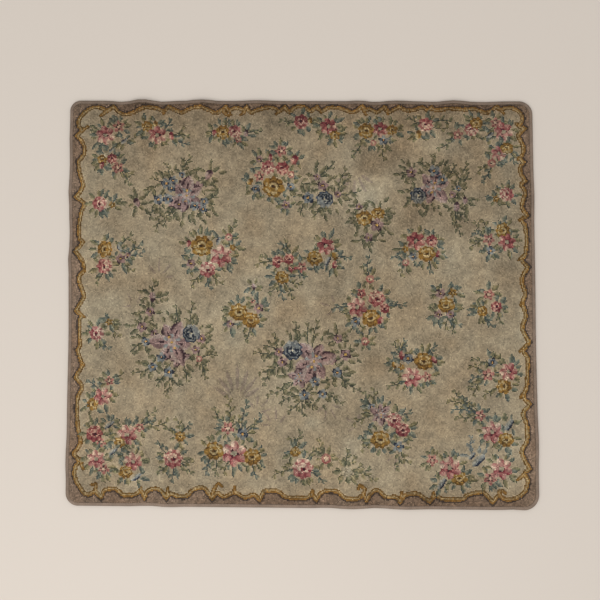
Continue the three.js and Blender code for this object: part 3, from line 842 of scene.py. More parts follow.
        (75, -74.2), (70.8, -72.8), (71.4, -64.4), (69.2, -67),
    ]),
    "near edge, right": dict(leaf="cool", flowers=[
        ("pink_star", 51.8, -62.2, 4.8), ("gold_rose", 62.4, -69.2, 6.4), ("mallow", 58.6, -65.2, 8.8),
        ("blue_bell", 55.4, -71.4, 4.2),
    ], tips=[
        (49.4, -58.4), (52.2, -57.4), (56.2, -59.6), (60.4, -57.6), (61.4, -60), (65.8, -62.4),
        (67.6, -65.6), (66.8, -73), (64, -74), (58.4, -73.6), (50.2, -73.4), (50.6, -69.2), (49, -66.6),
        (69.8, -70),
    ]),
    "near edge, right of middle": dict(leaf="cool", flowers=[
        ("small_blue", 28, -41.6, 3.4), ("mauve_lily", 31.6, -44.4, 9), ("gold_rose", 31.4, -54.3, 8),
        ("pink_rose", 36.8, -46.6, 6.6), ("red_rose", 40.2, -50.4, 6), ("small_blue", 38.6, -57, 4.6),
    ], tips=[
        (25.4, -35.2), (28.6, -33.8), (23, -38.4), (23.4, -41.4), (24.8, -44.4), (20.4, -48.6),
        (22.8, -52.8), (24.4, -50.8), (23.6, -54.8), (23.4, -59), (28.6, -59.4), (33.4, -60),
        (37.4, -66.4), (43.2, -63.8), (36, -59.6), (45.8, -53.4), (44.2, -55), (46.4, -47.2),
        (44, -43.8), (41.6, -41.8), (38, -40.8), (33.6, -39.6), (30.4, -37.4),
    ]),
    "near corner, right": dict(leaf="blue", flowers=[
        ("blue_bell", 70, -62.2, 5.4), ("blue_bell", 67.4, -60.4, 3),
    ], tips=[
        (62.4, -60.2), (66.6, -55.8), (67.6, -52.4), (70.4, -56.2), (73.6, -57),
    ]),
}


def patch(x, y, reach):
    """The part of the chart around a place, and how far each tuft lies to its right and beyond it."""
    columns = slice(*np.searchsorted(COLUMN_X, (x - reach, x + reach)))
    rows = slice(*np.searchsorted(ROW_Y, (y - reach, y + reach)))
    where = (rows, columns)
    return where, CHART_X[where] - x, CHART_Y[where] - y


def turned(dx, dy, turn):
    """Distances along a direction, and across it to its left."""
    along = dx * math.cos(turn) + dy * math.sin(turn)
    across = dy * math.cos(turn) - dx * math.sin(turn)
    return along, across


def weave(where, mask, colour):
    """Weaves the masked tufts of a part of the chart in one colour."""
    chart[where][mask] = colour
    motif[where][mask] = True


# Flowers. Each has its middle, its width and the direction in which it is dark.
# Bare numbers in these functions are shares of the flower's width or radius, or angles in radians.


def full_rose(x, y, width, turn, dye):
    """A wide-open rose: petals shaded towards the turn, pale arcs opposite, and a dark heart."""
    where, dx, dy = patch(x, y, 0.6 * width)
    shaded, across = turned(dx, dy, turn)
    lit = -shaded / (0.46 * width)
    across = across / (0.5 * width)
    radius, angle = np.hypot(lit, across), np.arctan2(across, lit)
    petals = np.cos(7 * angle + np.sin(2 * angle))
    flower = radius < 0.94 + 0.07 * petals
    weave(where, flower, dye["petal"])
    weave(where, flower & (radius > 0.7) & ((petals < -0.4) | (lit < -0.5)), dye["rim"])
    weave(where, flower & (radius > 0.6) & (petals < -0.8), dye["deep"])
    pale_arc = (np.abs(radius - 0.6) < 0.11) & (np.abs(angle - 0.3) < 1.4) & (np.cos(6 * angle) < 0.8)
    weave(where, pale_arc, dye["light"])
    weave(where, (np.abs(radius - 0.5) < 0.07) & (np.abs(angle) > 2), dye["deep"])
    weave(where, (np.abs(radius - 0.3) < 0.1) & (np.abs(angle) > 0.9), dye["light"])
    weave(where, np.hypot((lit + 0.02) / 0.15, across / 0.26) < 1, dye["deep"])
    weave(where, np.hypot((lit + 0.04) / 0.1, (across - 0.08) / 0.13) < 1, dye["heart"])


def rose(x, y, width, turn, dye):
    """A half-open rose: notched petals, dark towards the turn, round a pale cup with a deep heart."""
    where, dx, dy = patch(x, y, 0.6 * width)
    shaded, across = (distance / (0.5 * width) for distance in turned(dx, dy, turn))
    radius, angle = np.hypot(shaded, across), np.arctan2(across, shaded)
    petals = np.cos(3.5 * angle + 0.4) ** 2
    flower = radius < 0.84 + 0.16 * petals
    weave(where, flower, dye["petal"])
    weave(where, flower & (radius > 0.55) & ((petals < 0.3) | (radius > 0.86)), dye["rim"])
    weave(where, flower & (np.abs(angle) < 0.9) & (radius > 0.4), dye["rim"])
    weave(where, flower & (np.abs(angle) < 1.3) & (petals < 0.3) & (radius > 0.5), dye["deep"])
    weave(where, flower & (np.abs(angle) > 1.8) & (radius > 0.6) & (petals > 0.6), dye["light"])
    cup = np.hypot((shaded + 0.08) / 0.52, across / 0.56)
    weave(where, cup < 1, dye["light"])
    weave(where, (np.abs(cup - 0.66) < 0.16) & (np.cos(3 * angle + 1) > -0.1), dye["petal"])
    weave(where, (np.abs(cup - 0.98) < 0.12) & (np.cos(2 * angle + 1) > -0.5), dye["rim"])
    weave(where, np.hypot((shaded - 0.06) / 0.2, (across - 0.04) / 0.28) < 1, dye["deep"])
    weave(where, np.hypot(shaded - 0.08, across - 0.1) < 0.14, dye["heart"])


def ringed_rose(x, y, width, turn, dye):
    """A pale round rose with serrated dark rings, closed towards the turn."""
    where, dx, dy = patch(x, y, 0.6 * width)
    radius, angle = np.hypot(dx, dy) / (0.5 * width), np.arctan2(dy, dx) - turn
    teeth = np.cos(8 * angle)
    flower = radius < 0.95 + 0.05 * teeth
    weave(where, flower, dye["petal"])
    weave(where, flower & (radius > 0.68) & (teeth > 0) & (np.cos(angle) < 0.2), dye["light"])
    weave(where, flower & (radius > 0.8) & (np.cos(angle) > -0.5), dye["rim"])
    weave(where, flower & (radius > 0.72) & (teeth < -0.2) & (np.cos(angle) > -0.2), dye["deep"])
    weave(where, (np.abs(radius - 0.54 - 0.05 * teeth) < 0.1) & (np.cos(angle + 0.6) > -0.5), dye["deep"])
    weave(where, radius < 0.4, dye["light"])
    weave(where, (np.abs(radius - 0.26) < 0.11) & (np.cos(3 * angle + 2) > -0.3), dye["deep"])
    weave(where, np.hypot(dx, dy) < 0.7 * TUFT_CM, dye["heart"])


def lily(x, y, width, turn, dye):
    """An open flower of six long petals, each with a dark dash and some dark-edged, round gold dots."""
    where, dx, dy = patch(x, y, 0.6 * width)
    for k in (1, 3, 5, 0, 2, 4):
        axis = turn + k * math.pi / 3 + 0.15 * math.sin(4 * k)
        length = (width / 2) * (1.05 if k % 2 == 0 else 0.9)
        along, across = (distance / length for distance in turned(dx, dy, axis))
        half = 0.31 * np.sin(np.pi * np.clip(along, 0, 1) ** 1.15) ** 0.75
        petal = np.abs(across) < half
        weave(where, petal, dye["petal"])
        weave(where, petal & (across > 0.45 * half) & (along > 0.15), dye["rim"])
        weave(where, petal & (across < -0.45 * half) & (along > 0.35), dye["light"])
        if k % 3 != 1:
            weave(where, petal & (across > 0.62 * half) & (along > 0.45), dye["deep"])
        weave(where, petal & (np.abs(along - 0.46) < 0.13) & (np.abs(across) < 0.13 * half), dye["deep"])
    radius, angle = np.hypot(dx, dy) / (0.5 * width), np.arctan2(dy, dx) - turn
    weave(where, (radius < 0.42) & (np.cos(6 * angle) < -0.4), DYES["blue"]["petal"])
    weave(where, radius < 0.2, dye["light"])
    for step in (-1, 0, 1):
        dot = np.hypot(dx - 0.14 * width * step * math.cos(turn), dy - 0.14 * width * step * math.sin(turn))
        weave(where, dot < max(0.03 * width, 0.55 * TUFT_CM), dye["heart"])


def mallow(x, y, width, turn, dye):
    """An open flower of six round petals, dark towards the turn and pale opposite, round a pale middle."""
    where, dx, dy = patch(x, y, 0.6 * width)
    for k in (0, 1, 5, 2, 4, 3):
        axis = turn + k * math.pi / 3 + 0.2
        along, across = (distance / width for distance in turned(dx, dy, axis))
        petal = np.hypot((along - 0.3) / 0.22, across / 0.17) < 1
        lit = k in (2, 3, 4)
        weave(where, petal, dye["petal"] if lit else dye["rim"])
        weave(where, petal & (along > 0.26) & (across > 0), dye["light"] if lit else dye["petal"])
        weave(where, petal & (across < -0.09), dye["rim"] if lit else dye["deep"])
        weave(where, petal & (along < 0.17), dye["petal"] if lit else dye["deep"])
    middle = np.hypot(dx, dy) / width
    weave(where, middle < 0.11, DYES["pale"]["rim"])
    weave(where, (middle > 0.09) & (middle < 0.18) & (np.cos(3 * np.arctan2(dy, dx)) > 0.75), dye["heart"])


def floret(x, y, width, turn, dye):
    """A small flower of five petals, with dark marks round a bright eye."""
    where, dx, dy = patch(x, y, 0.7 * width)
    radius, angle = np.hypot(dx, dy), np.arctan2(dy, dx) - turn
    for k in range(5):
        axis = turn + k * math.tau / 5
        middle_x, middle_y = 0.3 * width * math.cos(axis), 0.3 * width * math.sin(axis)
        petal = np.hypot(dx - middle_x, dy - middle_y) < 0.19 * width
        weave(where, petal, dye["petal"] if k % 2 == 0 else dye["rim"])
        if k in (1, 3):
            weave(where, petal & (radius > 0.34 * width), dye["deep"])
    weave(where, (radius < 0.2 * width) & (np.cos(2.5 * angle) ** 2 < 0.7), dye["deep"])
    weave(where, radius < max(0.09 * width, 0.6 * TUFT_CM), dye["heart"])


def star(x, y, width, turn, dye):
    """A small flower of five notched petals, with dark dots round a pale middle."""
    where, dx, dy = patch(x, y, 0.7 * width)
    radius, angle = np.hypot(dx, dy) / (0.5 * width), np.arctan2(dy, dx) - turn
    petals = np.cos(2.5 * angle) ** 2
    flower = radius < 0.62 + 0.38 * petals
    weave(where, flower, dye["petal"])
    weave(where, flower & (radius > 0.72) & (np.sin(angle + turn) < 0.3), dye["rim"])
    weave(where, flower & (petals < 0.12), dye["deep"])
    weave(where, (np.abs(radius - 0.36) < 0.12) & (petals < 0.5), dye["heart"])
    weave(where, radius < 0.24, dye["light"])


def rosette(x, y, width, turn, dye):
    """A little round flower: a ring with a pale middle and a dark fleck."""
    where, dx, dy = patch(x, y, 0.6 * width)
    radius = np.hypot(dx, dy) / (0.5 * width)
    weave(where, radius < 1, dye["petal"])
    weave(where, (radius < 1) & (radius > 0.6) & (np.cos(np.arctan2(dy, dx) - turn) > 0.3), dye["rim"])
    weave(where, radius < 0.5, dye["light"])
    weave(where, np.hypot(dx + 0.1 * width, dy + 0.1 * width) < 0.6 * TUFT_CM, dye["heart"])


def bud(x, y, width, turn, dye):
    """A closed bud, pale on one side and dark at the turned end."""
    where, dx, dy = patch(x, y, 0.7 * width)
    along, across = turned(dx, dy, turn)
    shell = np.hypot(along / (0.58 * width), across / (0.36 * width)) < 1
    weave(where, shell, dye["petal"])
    weave(where, shell & (across > 0.08 * width), dye["light"])
    weave(where, shell & (along > 0.15 * width), dye["deep"])
    weave(where, shell & (across < -0.2 * width), dye["rim"])


def bell(x, y, width, turn, dye):
    """A slim leaning bell, pale on top, with a dark stroke along its shaded side."""
    where, dx, dy = patch(x, y, 0.7 * width)
    along, across = turned(dx, dy, turn - 0.8)
    shell = np.hypot(along / (0.62 * width), across / (0.28 * width)) < 1
    weave(where, shell, dye["light"])
    weave(where, shell & (across > -0.06 * width), dye["petal"])
    weave(where, shell & (across > 0.1 * width), dye["deep"])


FLOWERS = {
    "gold_rose": (full_rose, "gold"),
    "pink_rose": (rose, "pink"),
    "red_rose": (rose, "red"),
    "blue_rose": (ringed_rose, "navy"),
    "pale_rose": (full_rose, "pale"),
    "mauve_lily": (lily, "mauve"),
    "mallow": (mallow, "pink"),
    "red_mallow": (mallow, "red"),
    "small_blue": (floret, "blue"),
    "small_mauve": (floret, "mauve"),
    "pink_star": (star, "coral"),
    "red_star": (star, "red"),
    "gold_star": (star, "gold"),
    "rosette": (rosette, "coral"),
    "gold_bud": (bud, "gold"),
    "red_bud": (bud, "red"),
    "mauve_bud": (bud, "mauve"),
    "cream_bud": (bud, "pale"),
    "blue_bell": (bell, "blue"),
}


# Leaves and bouquets


def leaf(x, y, length, half_width, turn, dye):
    """A pointed leaf from its foot at x, y, lit along one edge and shaded along the other and at its tip."""
    where, dx, dy = patch(x, y, length)
    along, across = turned(dx, dy, turn)
    along = along / length
    half = half_width * np.sin(np.pi * np.clip(along, 0, 1) ** 0.95) ** 0.8
    blade = np.abs(across) < half
    weave(where, blade, dye["blade"])
    weave(where, blade & (across > 0.35 * half), dye["lit"])
    weave(where, blade & ((across < -0.5 * half) | (along > 0.9)), dye["shade"])


def thread(points, colour):
    """A line one tuft wide along a row of closely set points."""
    columns = np.round((points[:, 0] - COLUMN_X[0]) / (COLUMN_X[1] - COLUMN_X[0])).astype(int)
    rows = np.round((points[:, 1] - ROW_Y[0]) / (ROW_Y[1] - ROW_Y[0])).astype(int)
    columns = np.clip(columns, 0, COLUMNS - 1)
    rows = np.clip(rows, 0, ROWS - 1)
    chart[rows, columns] = colour
    motif[rows, columns] = True


def sprig(x, y, radius, tip_x, tip_y, bend, dye):
    """A curved stem out of a flower of that radius, with leaves to either side and one at its tip."""
    foot, tip = np.array([x, y]), np.array([tip_x, tip_y])
    length = np.hypot(*(tip - foot))
    elbow = (foot + tip) / 2 + SPRIG_BEND * bend * np.array([y - tip_y, tip_x - x])
    share = np.linspace(0, 1, int(length / 0.2))[:, None]
    line = (1 - share) ** 2 * foot + 2 * share * (1 - share) * elbow + share**2 * tip
    thread(line, dye["stem"])
    heading = np.arctan2(*np.gradient(line, axis=0).T[::-1])
    last = len(line) - 1
    leaves = int((length - radius) / SPRIG_STEP)
    for k in range(leaves):
        from_tip = (k + 0.8) * SPRIG_STEP
        place = int(last * (1 - from_tip / length))
        side = 1 if k % 2 == 0 else -1
        size = SPRIG_LEAF + SPRIG_GROWTH * min(k, 4)
        leaf(*line[place], size, SPRIG_SLIMNESS * size, heading[place] + SPRIG_SPREAD * side, dye)
    place = int(last * (1 - TIP_LEAF["back"] / length))
    leaf(*line[place], TIP_LEAF["length"], TIP_LEAF["half_width"], heading[-1], dye)


def shaded_side(x, y):
    """The direction in which a flower is dark: towards an edge of the rug, as set out above."""
    if abs(x) > SIDE_X and abs(y) < SIDE_Y:
        return 0.0 if x > 0 else math.pi
    return math.pi / 2 if y > FAR_Y else -math.pi / 2


def wreath(flowers, dyes, away, spacing):
    """Short leaves round a group of flowers, that far from them, wherever no other flower is in the way."""
    for number, (kind, x, y, width) in enumerate(flowers):
        others = [flower for flower in flowers if flower[1:3] != (x, y)]
        count = max(4, round(math.pi * (width + 3) / spacing))
        for k in range(count):
            turn = math.tau * (k + 0.37 * number + 0.3 * away) / count
            foot = 0.5 * width - WREATH_TUCK + away
            foot_x = x + foot * math.cos(turn)
            foot_y = y + foot * math.sin(turn)
            tip_x = foot_x + 2.0 * math.cos(turn)
            tip_y = foot_y + 2.0 * math.sin(turn)
            if all(math.hypot(tip_x - ox, tip_y - oy) > 0.5 * other + away for _, ox, oy, other in others):
                lean = WREATH_LEAN * math.sin(5 * number + 2.3 * k)
                length = WREATH_LEAF + WREATH_CHANGE * math.cos(3 * k + number)
                dye = dyes[(number + k) % len(dyes)]
                leaf(foot_x, foot_y, length, WREATH_SLIMNESS * length, turn + lean, dye)


def leaf_or_sprig(flowers, tip_x, tip_y, number, dye):
    """A leaf from the nearest flower to its tip, or a sprig where the tip is too far out for one leaf."""
    gaps = [math.hypot(tip_x - x, tip_y - y) - width / 2 for kind, x, y, width in flowers]
    kind, x, y, width = flowers[int(np.argmin(gaps))]
    reach = min(gaps)
    if reach > LONGEST_LEAF:
        sprig(x, y, width / 2, tip_x, tip_y, 1 if number % 2 == 0 else -1, dye)
    else:
        turn = math.atan2(tip_y - y, tip_x - x)
        length = max(reach + 0.4, SHORTEST_LEAF)
        foot_x, foot_y = tip_x - length * math.cos(turn), tip_y - length * math.sin(turn)
        leaf(foot_x, foot_y, length, LEAF_HALF_WIDTH, turn, dye)


def bouquet(flowers, tips, leaf_kind):
    """Wreaths of short leaves, the leaves and sprigs with their own tips, and the flowers on top."""
    dyes = LEAVES[leaf_kind]
    for away, spacing in WREATHS[leaf_kind]:
        wreath(flowers, dyes, away, spacing)
    for number, (tip_x, tip_y) in enumerate(tips):
        leaf_or_sprig(flowers, tip_x, tip_y, number, dyes[number % len(dyes)])
    for number, (kind, x, y, width) in enumerate(flowers):
        draw, dye = FLOWERS[kind]
        draw(x, y, width, shaded_side(x, y) + 0.5 * math.sin(3 * number), DYES[dye])


def plume(x, y, length, middle, leaves):
    """A faint fan of leaves in the field."""
    for lean in np.linspace(-1, 1, leaves):
        turn = middle + lean
        reach = length * (1 - 0.25 * abs(lean))
        foot_x, foot_y = x + 0.3 * reach * math.cos(turn), y + 0.3 * reach * math.sin(turn)
        leaf(foot_x, foot_y, 0.7 * reach, 0.055 * length, turn, FAINT)


# The gold line and the wear of the wool


def smooth(points, step=0.25):
    """A smooth curve through a few points, in short steps."""
    ends = [2 * points[0] - points[1], *points, 2 * points[-1] - points[-2]]
    curve = []
    for before, start, end, after in zip(ends, ends[1:], ends[2:], ends[3:]):
        t = np.linspace(0, 1, max(2, int(np.hypot(*(end - start)) / step)), endpoint=False)[:, None]
        square = 2 * before - 5 * start + 4 * end - after
        cube = 3 * start - before - 3 * end + after
        curve.append(0.5 * (2 * start + (end - before) * t + square * t**2 + cube * t**3))
    return np.concatenate(curve + [points[-1:]])


def nearest(points, x, y):
    """Each tuft's distance from the nearest of the points, and that point's share of the way along them."""
    distance = np.empty(x.shape)
    share = np.empty(x.shape)
    slice_size = 1000  # saves memory
    for start in range(0, len(x), slice_size):
        part = slice(start, start + slice_size)
        gaps = np.hypot(x[part, None] - points[:, 0], y[part, None] - points[:, 1])
        distance[part] = gaps.min(axis=1)
        share[part] = gaps.argmin(axis=1) / len(points)
    return distance, share


def inside(loop, x, y):
    """Which tufts lie inside a closed loop of points."""
    result = np.zeros(x.shape, dtype=bool)
    for (x0, y0), (x1, y1) in zip(loop, np.roll(loop, -1, axis=0)):
        if y0 != y1:
            result ^= ((y0 > y) != (y1 > y)) & (x < x0 + (y - y0) * (x1 - x0) / (y1 - y0))
    return result


def scalloped_line():
    """The taupe border and the scalloped gold line inside it, with its peaks and hooks."""
    arcs = [np.array(arc) for arc in SCALLOPS]
    loop = []
    for arc, following in zip(arcs, arcs[1:] + arcs[:1]):
        loop.append(smooth(np.concatenate([arc, following[:1]]))[:-1])
    loop = np.concatenate(loop)
    beside = np.abs(CHART_X) > 100 * HALF_WIDTH - LINE_ZONE
    near_edge = beside | (np.abs(CHART_Y) > 100 * HALF_DEPTH - LINE_ZONE)
    x, y = CHART_X[near_edge], CHART_Y[near_edge]
    outwards = nearest(loop, x, y)[0] * np.where(inside(loop, x, y), -1, 1)
    colour = chart[near_edge]
    colour[outwards > 0] = BORDER
    end = LINE_END
    for name, start in LINE_START.items():
        colour[(outwards > start) & (outwards <= end)] = LINE[name]
        end = start
    for peak in (arc[0] for arc in arcs):
        beside = abs(peak[0]) / HALF_WIDTH > abs(peak[1]) / HALF_DEPTH
        out = np.array([np.sign(peak[0]), 0]) if beside else np.array([0, np.sign(peak[1])])
        stroke, share = nearest(smooth(np.array([peak, peak + PEAK * out])), x, y)
        for name, (foot, narrower) in PEAK_HALF_WIDTH.items():
            colour[(stroke < foot - narrower * share) & (outwards > LINE_START[name])] = LINE[name]
    for hook in HOOKS:
        stroke, share = nearest(smooth(np.array(hook)), x, y)
        stroke = stroke + HOOK_TAPER * share
        for name, half_width in HOOK_HALF_WIDTH.items():
            limit = LINE_START["light" if name == "inner" else "gold"]
            colour[(stroke < half_width) & (outwards < limit)] = LINE[name]
    chart[near_edge] = colour
    motif[near_edge] = (outwards > LINE_START["inner"]) | motif[near_edge]


def blotches(cell):
    """Smooth random blotches over the chart, about -1 to 1, with a cell of that many centimetres."""
    across = np.linspace(0, 2 * PILE_HALF_WIDTH * 100 / cell, COLUMNS)
    along = np.linspace(0, 2 * PILE_HALF_DEPTH * 100 / cell, ROWS)
    knots = random.uniform(-1, 1, (int(along[-1]) + 2, int(across[-1]) + 2))
    column, row = across.astype(int), along.astype(int)
    share_x = across - column
    share_y = (along - row)[:, None]
    share_x = share_x * share_x * (3 - 2 * share_x)
    share_y = share_y * share_y * (3 - 2 * share_y)
    low = knots[row][:, column] * (1 - share_x) + knots[row][:, column + 1] * share_x
    high = knots[row + 1][:, column] * (1 - share_x) + knots[row + 1][:, column + 1] * share_x
    return low * (1 - share_y) + high * share_y


def mottle(table):
    """The sum of several sizes of blotches, each with its strength."""
    return sum(strength * blotches(cell) for cell, strength in table)


def wear():
    """Ages the woven chart: stains, worn patches, warmer dark places, and tufts that differ."""
    field = ~motif
    beside = np.zeros_like(motif)
    for axis in (0, 1):
        for step in (1, -1):
            beside |= np.roll(motif, step, axis)
    stain = mottle(STAINS)
    stain -= BORDER_DARKENING * np.clip((np.abs(CHART_Y) - DARKENING_START) / DARKENING_FADE, 0, 1)
    for x, y, radius, change in WORN:
        stain += change * hump(np.hypot(CHART_X - x, CHART_Y - y) / radius)
    shade = 1 + stain + mottle(SHADES) + HALO * (beside & field)
    warm = mottle(WARMTHS) - SOILED_WARMTH * stain
    shade += random.normal(0, 1, motif.shape) * np.where(field, FIELD_GRAIN, MOTIF_GRAIN)
    chart[:] *= shade[:, :, None]
    chart[:] *= np.stack([1 + warm, np.ones_like(warm), 1 - warm], axis=2)


def weave_chart():
    """Draws the whole chart, from the ground colours up."""
    chart[:] = FIELD
    for row in PLUMES:
        plume(*row)
    motif[:] = False  # the faint fans wear as the field does
    scalloped_line()
    for row in BOUQUETS.values():
        bouquet(row["flowers"], row["tips"], row["leaf"])
    wear()


def linear(colours):
    """sRGB colours from 0 to 255 as linear light from 0 to 1."""
    share = np.clip(colours / 255, 0, 1)
    return np.where(share < 0.04045, share / 12.92, ((share + 0.055) / 1.055) ** 2.4)


def paint(colour):
    """A plain colour for a shader's socket."""
    return (*linear(np.array(colour)), 1)


# Materials


def new_material(name, roughness, sheen):
    """A matt textile material, its node tree and its surface shader."""
    material = bpy.data.materials.new(name)
    material.use_nodes = True
    tree = material.node_tree
    surface = tree.nodes["Principled BSDF"]
    surface.inputs["Roughness"].default_value = roughness
    surface.inputs["Specular IOR Level"].default_value = 0.15
    surface.inputs["Sheen Weight"].default_value = sheen
    surface.inputs["Sheen Roughness"].default_value = 0.5
    return material, tree, surface


def add_node(tree, kind, settings=None, **inputs):
    """A shader or geometry node with its settings, and its inputs set or linked, by name or as _number."""
    node = tree.nodes.new(kind)
    for name, value in (settings or {}).items():
        setattr(node, name, value)
    for name, value in inputs.items():
        socket = node.inputs[int(name[1:])] if name[0] == "_" else node.inputs[name.replace("_", " ")]
        if isinstance(value, bpy.types.NodeSocket):
            tree.links.new(value, socket)
        else:
            socket.default_value = value
    return node


def times(tree, colour, factor):
    """A colour multiplied by a single factor."""
    scale = add_node(tree, "ShaderNodeVectorMath", dict(operation="SCALE"), _0=colour, Scale=factor)
    return scale.outputs[0]


def between(tree, value, start, end, low, high):
    """A factor that runs from low to high while a value runs from start to end."""
    ends = dict(From_Min=start, From_Max=end, To_Min=low, To_Max=high)
    spread = add_node(tree, "ShaderNodeMapRange", Value=value, **ends)
    return spread.outputs["Result"]


def speckle(tree, scale, low, high, detail=2.0):
    """Noise over the object, from low to high."""
    place = add_node(tree, "ShaderNodeTexCoord").outputs["Object"]
    noise = add_node(tree, "ShaderNodeTexNoise", Vector=place, Scale=scale, Detail=detail)
    return between(tree, noise.outputs["Fac"], 0.3, 0.7, low, high)


def emboss(tree, surface, height, depth):
    """Gives a surface a fine relief of that depth in metres."""
    bump = add_node(tree, "ShaderNodeBump", Height=height, Distance=depth, Strength=1.0)
    tree.links.new(bump.outputs["Normal"], surface.inputs["Normal"])


def bands(tree, direction, place, scale):
    """Even ribs in one direction, from 0 to 1."""
    settings = dict(wave_type="BANDS", bands_direction=direction)
    return add_node(tree, "ShaderNodeTexWave", settings, Vector=place, Scale=scale).outputs["Fac"]


def tones(tree, share, dark, light):
    """A colour between a dark and a light one."""
    mix = add_node(tree, "ShaderNodeMix", dict(data_type="RGBA"), _0=share, _6=paint(dark), _7=paint(light))
    return mix.outputs[2]


def pile_material():
    """Dyed wool: the chart's colour on each tuft, with painted shade in its dips, broken up by its fibres.
    """
    material, tree, surface = new_material("wool_pile", roughness=0.95, sheen=0.12)
    dyed = add_node(tree, "ShaderNodeAttribute", dict(attribute_name="tuft_colour")).outputs["Color"]
    fibres = speckle(tree, scale=1400, low=0.86, high=1.14)
    tree.links.new(times(tree, dyed, fibres), surface.inputs["Base Color"])
    emboss(tree, surface, speckle(tree, scale=1100, low=0, high=1, detail=3.0), depth=0.0006)
    return material


def ground_material():
    """Undyed jute and cotton, seen on the underside: a plain weave of warp and weft."""
    material, tree, surface = new_material("ground_weave", roughness=0.95, sheen=0.05)
    place = add_node(tree, "ShaderNodeTexCoord").outputs["Object"]
    pull = add_node(tree, "ShaderNodeTexNoise", Vector=place, Scale=40.0).outputs["Color"]
    shift = dict(operation="MULTIPLY_ADD")
    wavy = add_node(tree, "ShaderNodeVectorMath", shift, _0=pull, _1=(0.002, 0.002, 0.0), _2=place)
    warp, weft = (bands(tree, direction, wavy.outputs[0], scale=52.0) for direction in ("X", "Y"))
    weave_height = add_node(tree, "ShaderNodeMath", dict(operation="MULTIPLY"), _0=warp, _1=weft).outputs[0]
    tone = tones(tree, weave_height, GROUND_DARK, GROUND_LIGHT)
    colour = times(tree, tone, speckle(tree, scale=9, low=0.88, high=1.1))
    tree.links.new(colour, surface.inputs["Base Color"])
    emboss(tree, surface, weave_height, depth=0.0012)
    return material


def tape_material():
    """Grey-brown woven tape with fine ribs, with painted shade on its outer side, a painted highlight along
    the near edge and painted shade along the far edge.
    """
    material, tree, surface = new_material("binding_tape", roughness=0.9, sheen=0.08)
    along = add_node(tree, "ShaderNodeUVMap", dict(uv_map="tape")).outputs["UV"]
    ribs = bands(tree, "DIAGONAL", along, scale=110.0)
    tone = tones(tree, ribs, TAPE_DARK, TAPE_LIGHT)
    colour = times(tree, tone, speckle(tree, scale=35, low=0.85, high=1.12))
    across = add_node(tree, "ShaderNodeSeparateXYZ", Vector=along).outputs["Y"]
    fold = TAPE_BELOW + TAPE_TOP
    # painted shade on the tape's underside and outer side, fading out over the start of its top
    colour = times(tree, colour, between(tree, across, fold, fold + OUTER_SHADE_FADE, TAPE_OUTER_SHADE, 1.0))
    place = add_node(tree, "ShaderNodeTexCoord").outputs["Object"]
    depth = add_node(tree, "ShaderNodeSeparateXYZ", Vector=place).outputs["Y"]
    # painted highlight: the tape is paler along the near edge
    colour = times(tree, colour, between(tree, depth, -HALF_DEPTH, TAPE_FADE - HALF_DEPTH, NEAR_TAPE_HIGHLIGHT, 1.0))
    # painted shade: the tape is darker along the far edge
    colour = times(tree, colour, between(tree, depth, HALF_DEPTH - TAPE_FADE, HALF_DEPTH, 1.0, FAR_TAPE_SHADE))
    tree.links.new(colour, surface.inputs["Base Color"])
    emboss(tree, surface, ribs, depth=0.0004)
    return material


def plain_material(name, colour, roughness, sheen=0.0):
    """One even colour."""
    material, tree, surface = new_material(name, roughness, sheen)
    surface.inputs["Base Color"].default_value = paint(colour)
    return material


# The pile


def pile_points():
    """The corners between the tufts and the top of each tuft, in two grids, and which tufts there are."""
    u, v = np.meshgrid(
        np.linspace(-PILE_HALF_WIDTH, PILE_HALF_WIDTH, 2 * COLUMNS + 1),
        np.linspace(-PILE_HALF_DEPTH, PILE_HALF_DEPTH, 2 * ROWS + 1),
    )
    lean = random.normal(0, TUFT_LEAN, (2, *u.shape))
    lean[:, [0, -1], :] = 0
    lean[:, :, [0, -1]] = 0
    u += lean[0]
    v += lean[1]
    height = np.full(u.shape, PILE_TOP - TUFT_DIP)
    height[1::2, 1::2] = PILE_TOP - TUFT_UNEVEN + random.normal(0, TUFT_UNEVEN, (ROWS, COLUMNS))
    height[[0, -1], :] = SELVEDGE_TOP
    height[:, [0, -1]] = SELVEDGE_TOP
    cut_off = np.zeros(u.shape, dtype=bool)
    for corner in CORNERS.values():
        radius = corner["radius"] - PILE_EDGE
        beyond_u = corner["right"] * u - (PILE_HALF_WIDTH - radius)
        beyond_v = corner["far"] * v - (PILE_HALF_DEPTH - radius)
        distance = np.hypot(beyond_u, beyond_v)
        outside = (beyond_u > 0) & (beyond_v > 0) & (distance > radius)
        share = radius / distance[outside]
        u[outside] = corner["right"] * (PILE_HALF_WIDTH - radius + beyond_u[outside] * share)
        v[outside] = corner["far"] * (PILE_HALF_DEPTH - radius + beyond_v[outside] * share)
        height[outside] = SELVEDGE_TOP
        cut_off |= outside
    x, y, lift = lay(u, v)
    points = np.stack([x, y, height + lift], axis=2)
    kept = ~cut_off[::2, ::2]
    kept = kept[1:] | kept[:-1]
    return points[::2, ::2], points[1::2, 1::2], kept[:, 1:] | kept[:, :-1]


def pile_mesh(name, points, index):
    """A smooth mesh of triangles, three entries of the index for each."""
    count = len(index) // 3
    mesh = bpy.data.meshes.new(name)
    mesh.vertices.add(len(points))
    mesh.vertices.foreach_set("co", points.ravel())
    mesh.loops.add(len(index))
    mesh.loops.foreach_set("vertex_index", index)
    mesh.polygons.add(count)
    mesh.polygons.foreach_set("loop_start", np.arange(0, 3 * count, 3))
    mesh.polygons.foreach_set("use_smooth", np.ones(count, dtype=bool))
    mesh.update(calc_edges=True)
    return mesh


